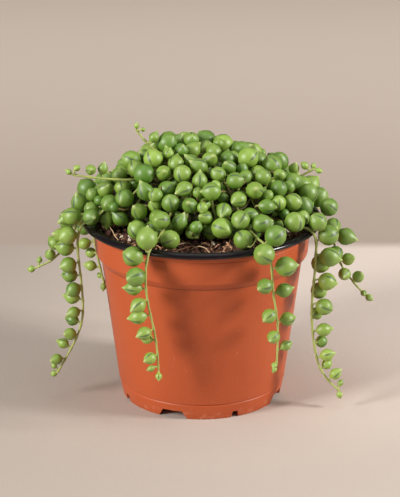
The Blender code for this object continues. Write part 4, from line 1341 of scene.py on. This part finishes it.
class Sprig:
    """Lines for stems and stalks and single points for leaves, which the tree gives their bodies."""

    def __init__(self):
        self.points = []
        self.lines = []
        self.values = {"kind": [], "size": [], "tone": [], "turn": []}

    def add(self, point, kind, size, tone, turn=(0, 0, 0)):
        self.points.append(point)
        for name, value in (("kind", float(kind)), ("size", size), ("tone", tone), ("turn", turn)):
            self.values[name].append(value)

    def add_line(self, points, sizes, tones):
        first = len(self.points)
        self.lines += [(first + k, first + k + 1) for k in range(len(points) - 1)]
        for point, size, tone in zip(points, sizes, tones):
            self.add(point, 0, size, tone)

    def add_leaf(self, node, centre, radius, axis, sunny, kind, tone, fresh=1.0):
        """A leaf about this axis, its window on the sunny side, and its stalk from the node."""
        side = (sunny - axis * sunny.dot(axis)).normalized()
        turn = Matrix((side, axis.cross(side), axis)).transposed().to_euler()
        self.add(centre, kind, radius, tone, turn)
        base = centre - axis * radius * STALK_END
        bend = base - axis * (base - node).length * STALK_BEND
        stalk = [node.lerp(bend, t).lerp(bend.lerp(base, t), t) for t in STALK_AT]
        self.add_line(stalk, STALK_RADII, [share * fresh for share in STALK_TONES])

    def piece(self, name, slot, skins):
        mesh = bpy.data.meshes.new(name)
        mesh.from_pydata(self.points, self.lines, [])
        for label, values in self.values.items():
            kind, field = ("FLOAT_VECTOR", "vector") if label == "turn" else ("FLOAT", "value")
            held_values = mesh.attributes.new(label, kind, "POINT").data
            for item, value in zip(held_values, values):
                setattr(item, field, value)
        leaf_skin, stem_skin = skins
        made = leafy.shape(name, mesh, {**leaf_forms, "Sides": STEM_SIDES, "Leaf skin": leaf_skin.material,
                                        "Stem skin": stem_skin.material})
        obj = add_piece(name, made)
        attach(obj, "root")
        return obj


leaf_forms = {name: leaf_form(name, profile) for name, profile in LEAF_FORMS.items()}


def leaf_finish(name, deep, bright):
    """A leaf's skin: waxy, with its pale point and base and its dark window. Tone is 0 deep, 1 bright."""
    base_colour = (0.36, 0.47, 0.13)
    tip_colour = (0.46, 0.56, 0.19)
    stripe_colour = (0.40, 0.50, 0.18)
    window_colour = (0.034, 0.070, 0.030)
    point_colour = (0.46, 0.50, 0.18)
    window_middle = 0.30
    window_reach = 0.72
    window_width = 0.125
    stripe_count = 17
    skin = Finish(name, {"Specular IOR Level": 1.0})
    tone = skin.attribute("tone")
    x, y, z = skin.axes(skin.attribute("place", "Vector"))
    cloudy = skin.cloud(260, 3)
    green = skin.blend(skin.rise(tone + (cloudy - 0.5) * 0.35, 0.0, 1.0), deep, bright)
    green = skin.blend(skin.fall(z, -1.0, -0.7) * 0.35, green, base_colour)
    green = skin.blend(skin.rise(z, 0.92, 1.12) * 0.28, green, tip_colour)
    along = (z - window_middle) / window_reach
    lens_width = (1 - along * along) * window_width
    away = skin.sum("ABSOLUTE", y)
    window = skin.rise(lens_width - away, -0.008, 0.012) * skin.rise(x, 0.02, 0.1)
    stripes = skin.sum("SINE", skin.sum("ARCTAN2", y, x) * stripe_count) * 0.5 + 0.5
    green = skin.blend(stripes * skin.rise(z, 0.1, 0.95) * 0.14, green, stripe_colour)
    green = skin.blend(window * 0.78, green, window_colour)
    tip = skin.rise(z, 1.07, 1.17)
    skin.shows({"Base Color": skin.blend(tip * 0.5, green, point_colour),
                "Roughness": cloudy * 0.14 + tip * 0.2 + 0.42,
                "Normal": skin.bump(cloudy + window * -0.4, 0.00012)})
    return skin


def stem_finish(name, old, fresh):
    """A stem's skin: brown and a little rough where it is old, smooth and pale green where it is fresh."""
    skin = Finish(name, {"Specular IOR Level": 0.4})
    tone = skin.attribute("tone")
    streaks = skin.cloud(900, 3)
    skin.shows({"Base Color": skin.blend(skin.rise(tone + (streaks - 0.5) * 0.5, 0.05, 0.8), old, fresh),
                "Roughness": 0.65 - tone * 0.25,
                "Normal": skin.bump(streaks, 0.00012)})
    return skin


young_skins = (leaf_finish("young leaf skin", (0.078, 0.188, 0.006), (0.276, 0.412, 0.055)),
               stem_finish("young stem skin", (0.20, 0.115, 0.050), (0.37, 0.43, 0.12)))


def around(axis, vector, angle):
    return Matrix.Rotation(angle, 3, axis) @ vector


def add_stem(sprig, strand, age):
    """The strand's stem: thinner and fresher towards its end, thicker at its nodes."""
    line = curve_through([strand.root, *strand.nodes], STEM_STEPS)
    ahead = (line[-1] - line[-2]).normalized()
    line.append(line[-1] + ahead * STEM_END)
    sizes = []
    tones = []
    for k, point in enumerate(line):
        t = k / (len(line) - 1)
        sizes.append((STEM_AT_ROOT - STEM_THINS * t) * (BETWEEN_KNUCKLES if k % STEM_STEPS else KNUCKLE))
        tones.append(1 - age * (1 - t) ** AGE_FADES)
        if k > STEM_STEPS:
            clear_of_pot(point, sizes[-1])
    sizes[-1] *= STEM_END_THINS
    sprig.add_line(line, sizes, tones)
    return ahead


def add_buds(sprig, strand, ahead, others, source):
    """A cluster of tiny new leaves at the end of a stem."""
    end = strand.nodes[-1]
    placed = []
    for _ in range(BUD_TRIES):
        radius = source.uniform(*BUD_RADII)
        side = Vector([source.gauss(0, 1) for _ in range(3)])
        side = (side - ahead * side.dot(ahead)).normalized()
        direction = (ahead * source.uniform(*BUD_AHEAD) + side).normalized()
        centre = end + ahead * source.uniform(0, BUD_SPREAD) + direction * (radius + BUD_STALK)
        free = all((centre - c).length > r + radius * BUD_ROOM for c, r in others + placed)
        if free and len(placed) < BUDS:
            placed.append((centre, radius))
            sprig.add_leaf(end, centre, radius, direction, side, YOUNG, source.uniform(*BUD_TONES))


def turned_aside(axis, source):
    """The axis turned at random, mostly to one side and up, so that the window shows and not the tip."""
    away = Vector([source.gauss(0, 1) for _ in range(3)]).normalized()
    return (axis * POINTS_OUT + SUNWARD + away * POINTS_ASIDE).normalized()


def add_leafy_stem(sprig, strand, others, source):
    """The strand's stem, leaves and end buds."""
    old = strand.on_mound or strand.hanging_from < len(strand.nodes)
    age = source.uniform(*(OLD_AT_ROOT if old else YOUNG_AT_ROOT))
    fresh = OLD_STALKS if strand.on_mound else 1.0
    ahead = add_stem(sprig, strand, age)
    count = len(strand.nodes)
    for leaf in strand.leaves:
        node = strand.nodes[leaf.node]
        axis = (leaf.centre - node).normalized()
        hanging = leaf.node >= strand.hanging_from
        outward = Vector((node.x, node.y, 0)).normalized() if hanging else (node - HEAP_CENTRE).normalized()
        if hanging:
            axis = (axis - Vector((0, 0, source.uniform(*DROOP)))).normalized()
        else:
            axis = turned_aside(axis, source)
        left_to_end = count if strand.on_mound else count - 1 - leaf.node
        grown = source.choice(STRING_LEAVES if hanging else HEAP_LEAVES)
        kind = YOUNG if left_to_end < YOUNG_LEAVES else grown
        brighter = BRIGHTER_AT_END if left_to_end < BRIGHT_LEAVES else BRIGHTER_ON_STRING if hanging else 0
        tone = source.uniform(*LEAF_TONES) + brighter
        sunny = around(axis, outward + SUNWARD, source.gauss(0, WINDOW_STRAYS))
        sprig.add_leaf(node, leaf.centre, leaf.radius, axis, sunny, kind, min(1, tone), fresh)
    if not strand.on_mound:
        add_buds(sprig, strand, ahead, others, source)


all_balls = [(leaf.centre, leaf.radius) for s in strands for leaf in s.leaves]
source = random.Random(SEED + 5)
groups = {}
for strand in strands:
    kind = "shoots" if strand.name.startswith("shoot") else strand.name.replace("trail", "string")
    groups.setdefault("creepers" if strand.on_mound else kind, []).append(strand)
for name, members in groups.items():
    sprig = Sprig()
    for strand in members:
        add_leafy_stem(sprig, strand, all_balls, source)
    piece = sprig.piece(name, "young_growth", young_skins)
    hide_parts(*[strand.name for strand in members])


# Bits of root and straw. They are light brown, 0.3 to 0.5 mm thick and 8 to 16 mm long, and lie curled
# on the mix between the heap and the pot's wall, where some stand up a little.
FIBRES = 36
FIBRE_POINTS = 6
FIBRE_LIFT = 0.0008
FIBRE_OUT = (0.036, 0.046)
FIBRE_STEPS = (0.0016, 0.0032)
FIBRE_ARCHES = (0.0005, 0.0035)
FIBRE_CURL = 0.18
FIBRE_RADII = (0.00015, 0.00026)
FIBRES_WITHIN = mix_radius - 0.001


def add_fibre(sprig, source):
    azimuth = source.uniform(0, math.tau)
    place = Vector((math.cos(azimuth), math.sin(azimuth), 0)) * source.uniform(*FIBRE_OUT)
    heading = source.uniform(0, math.tau)
    bend = source.gauss(0, FIBRE_CURL)
    step = source.uniform(*FIBRE_STEPS)
    arch = source.uniform(*FIBRE_ARCHES)
    points = []
    for k in range(FIBRE_POINTS):
        ground = Vector((place.x, place.y, MIX_TOP))
        raised = arch * math.sin(math.pi * k / (FIBRE_POINTS - 1))
        points.append(ground + Vector((0, 0, FIBRE_LIFT + mix_height(ground) + raised)))
        heading += bend
        place += Vector((math.cos(heading), math.sin(heading), 0)) * step
        if place.length > FIBRES_WITHIN:
            place *= FIBRES_WITHIN / place.length
    line = curve_through(points, STEM_STEPS)
    size = source.uniform(*FIBRE_RADII)
    sprig.add_line(line, [size] * len(line), [source.uniform(0, 1)] * len(line))


fibre_skin = stem_finish("root fibre", (0.23, 0.105, 0.050), (0.62, 0.43, 0.25))
source = random.Random(SEED + 6)
sprig = Sprig()
for _ in range(FIBRES):
    add_fibre(sprig, source)
sprig.piece("root_fibres", "potting_mix", (fibre_skin, fibre_skin))


# The heap of old growth. Years of stems lie over each other in a tangle, which holds up a dense
# covering of full-grown leaves. They press against each other, so their sizes vary. The tangle is
# partly real old stems, and is coloured near black as painted shade in the gaps between the leaves.
CORE_SEGMENTS = 72
CORE_RINGS = 40
CORE_INSET = 0.0008
CORE_LUMPS = ((350, 0.0009), (900, 0.0004))
OLD_STEMS = 70
OLD_STEM_POINTS = 7
OLD_STEM_STARTS = 95
OLD_STEM_STRIDE = 9
OLD_STEM_TURNS = 0.5
OLD_STEM_RANGE = (4, 100)
OLD_STEM_LIFTS = (0.0001, 0.0009)
OLD_STEM_RADII = (0.0004, 0.0007)
OLD_STEM_TONES = (0, 0.7)
OLD_LEAF_TONES = (0.05, 0.75)
OLD_WINDOW_STRAYS = 0.6
OLD_STALK_TONE = 0.4
FILL_SIZES = (0.0048, 0.0045, 0.0042, 0.0039, 0.0036, 0.0033, 0.0029, 0.0025)
FILL_TRIES = 3000
FILL_OUT = 0.3
FILL_DEPTH = 0.0085
FILL_BIAS = 1.7
FILL_BOX = 0.011
SQUEEZE = 0.90
FILL_LOWEST = -0.35


class Crowd:
    """Balls sorted into boxes of space, to find what is near a place fast."""

    def __init__(self, step):
        self.step = step
        self.boxes = {}

    def key(self, point):
        return tuple(math.floor(c / self.step) for c in point)

    def add(self, centre, radius):
        self.boxes.setdefault(self.key(centre), []).append((centre, radius))

    def room(self, point, most):
        """How large a ball here may be before it touches another."""
        x, y, z = self.key(point)
        room = most
        for i in (x - 1, x, x + 1):
            for j in (y - 1, y, y + 1):
                for k in (z - 1, z, z + 1):
                    for centre, radius in self.boxes.get((i, j, k), ()):
                        room = min(room, (centre - point).length - radius)
        return room


def fill_leaves(bed):
    """More leaves of the old growth, the largest first, wherever one fits between the others."""
    source = random.Random(SEED + 2)
    crowd = Crowd(FILL_BOX)
    for centre, radius in all_balls + [(leaf.centre, leaf.radius) for leaf in bed]:
        crowd.add(centre, radius * SQUEEZE)
    for s in strands:
        for a, b, _ in stem_runs(s):
            for t in (0, 0.25, 0.5, 0.75):
                crowd.add(a.lerp(b, t), STEM_RADIUS)
    filled = []
    for wanted in FILL_SIZES:
        for _ in range(FILL_TRIES):
            polar = math.degrees(math.acos(source.uniform(FILL_LOWEST, 1)))
            outward = towards(source.uniform(0, 360), polar)
            centre = on_heap(outward, wanted * FILL_OUT + FILL_DEPTH * source.random() ** FILL_BIAS)
            if crowd.room(centre, wanted) < wanted * SQUEEZE:
                continue
            leaf = Leaf(0, centre, wanted, source)
            if pot_room(leaf) < wanted:
                continue
            leaf.home = on_heap(outward, -CORE_INSET)
            crowd.add(centre, wanted * SQUEEZE)
            filled.append(leaf)
    return filled


def heap_core():
    """The tangle inside the heap, as one closed body with a flat underside."""
    bm = bmesh.new()
    bmesh.ops.create_uvsphere(bm, u_segments=CORE_SEGMENTS, v_segments=CORE_RINGS, radius=1)
    for v in bm.verts:
        outward = v.co.normalized()
        v.co = on_heap(outward, crumbly(on_heap(outward), CORE_LUMPS) - CORE_INSET)
        v.co.z = max(v.co.z, HEAP_BASE)
    return plain(bm, "heap core", math.radians(60))


def add_old_stems(sprig, source):
    """Old stems, which lie over each other on the tangle."""
    highest, lowest = OLD_STEM_RANGE
    near_top = 0.3
    for _ in range(OLD_STEMS):
        azimuth = source.uniform(0, 360)
        polar = source.uniform(0, OLD_STEM_STARTS)
        heading = source.uniform(0, math.tau)
        points = []
        for _ in range(OLD_STEM_POINTS):
            points.append(on_heap(towards(azimuth, polar), source.uniform(*OLD_STEM_LIFTS)))
            heading += source.uniform(-OLD_STEM_TURNS, OLD_STEM_TURNS)
            azimuth += math.cos(heading) * OLD_STEM_STRIDE / max(near_top, math.sin(math.radians(polar)))
            polar = max(highest, min(lowest, polar + math.sin(heading) * OLD_STEM_STRIDE))
        line = curve_through(points, STEM_STEPS)
        size = source.uniform(*OLD_STEM_RADII)
        sprig.add_line(line, [size] * len(line), [source.uniform(*OLD_STEM_TONES)] * len(line))


tangle = Finish("old tangle", {"Specular IOR Level": 0.25})
threads = tangle.cloud(700, 4)
dead = tangle.rise(tangle.cloud(260, 2), 0.55, 0.7)
# Painted shade: the tangle's near-black greens stand in for the shade deep between the leaves.
tangle_painted_shade = tangle.blend(tangle.rise(threads, 0.35, 0.7), (0.012, 0.013, 0.005), (0.075, 0.085, 0.026))
tangle.shows({"Base Color": tangle.blend(dead * 0.6, tangle_painted_shade, (0.09, 0.05, 0.025)),
              "Roughness": threads * 0.2 + 0.75,
              "Normal": tangle.bump(threads, 0.0008)})
old_skins = (leaf_finish("old leaf skin", (0.075, 0.192, 0.005), (0.292, 0.450, 0.056)),
             stem_finish("old stem skin", (0.13, 0.070, 0.030), (0.24, 0.26, 0.075)))

source = random.Random(SEED + 7)
bed = bed_leaves(strands)
sprig = Sprig()
add_old_stems(sprig, source)
for leaf in bed + fill_leaves(bed):
    outward = (leaf.centre - HEAP_CENTRE).normalized()
    axis = turned_aside(outward, source)
    sunny = around(axis, outward, source.gauss(0, OLD_WINDOW_STRAYS))
    kind = source.choice(HEAP_LEAVES)
    tone = source.uniform(*OLD_LEAF_TONES)
    sprig.add_leaf(leaf.home, leaf.centre, leaf.radius, axis, sunny, kind, tone, OLD_STALK_TONE)
heap = sprig.piece("old_growth_leaves", "old_growth", old_skins)
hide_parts("heap")
core = add_piece("old_growth_tangle", heap_core(), tangle)
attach(core, "root")

for form in leaf_forms.values():
    bpy.data.objects.remove(form)
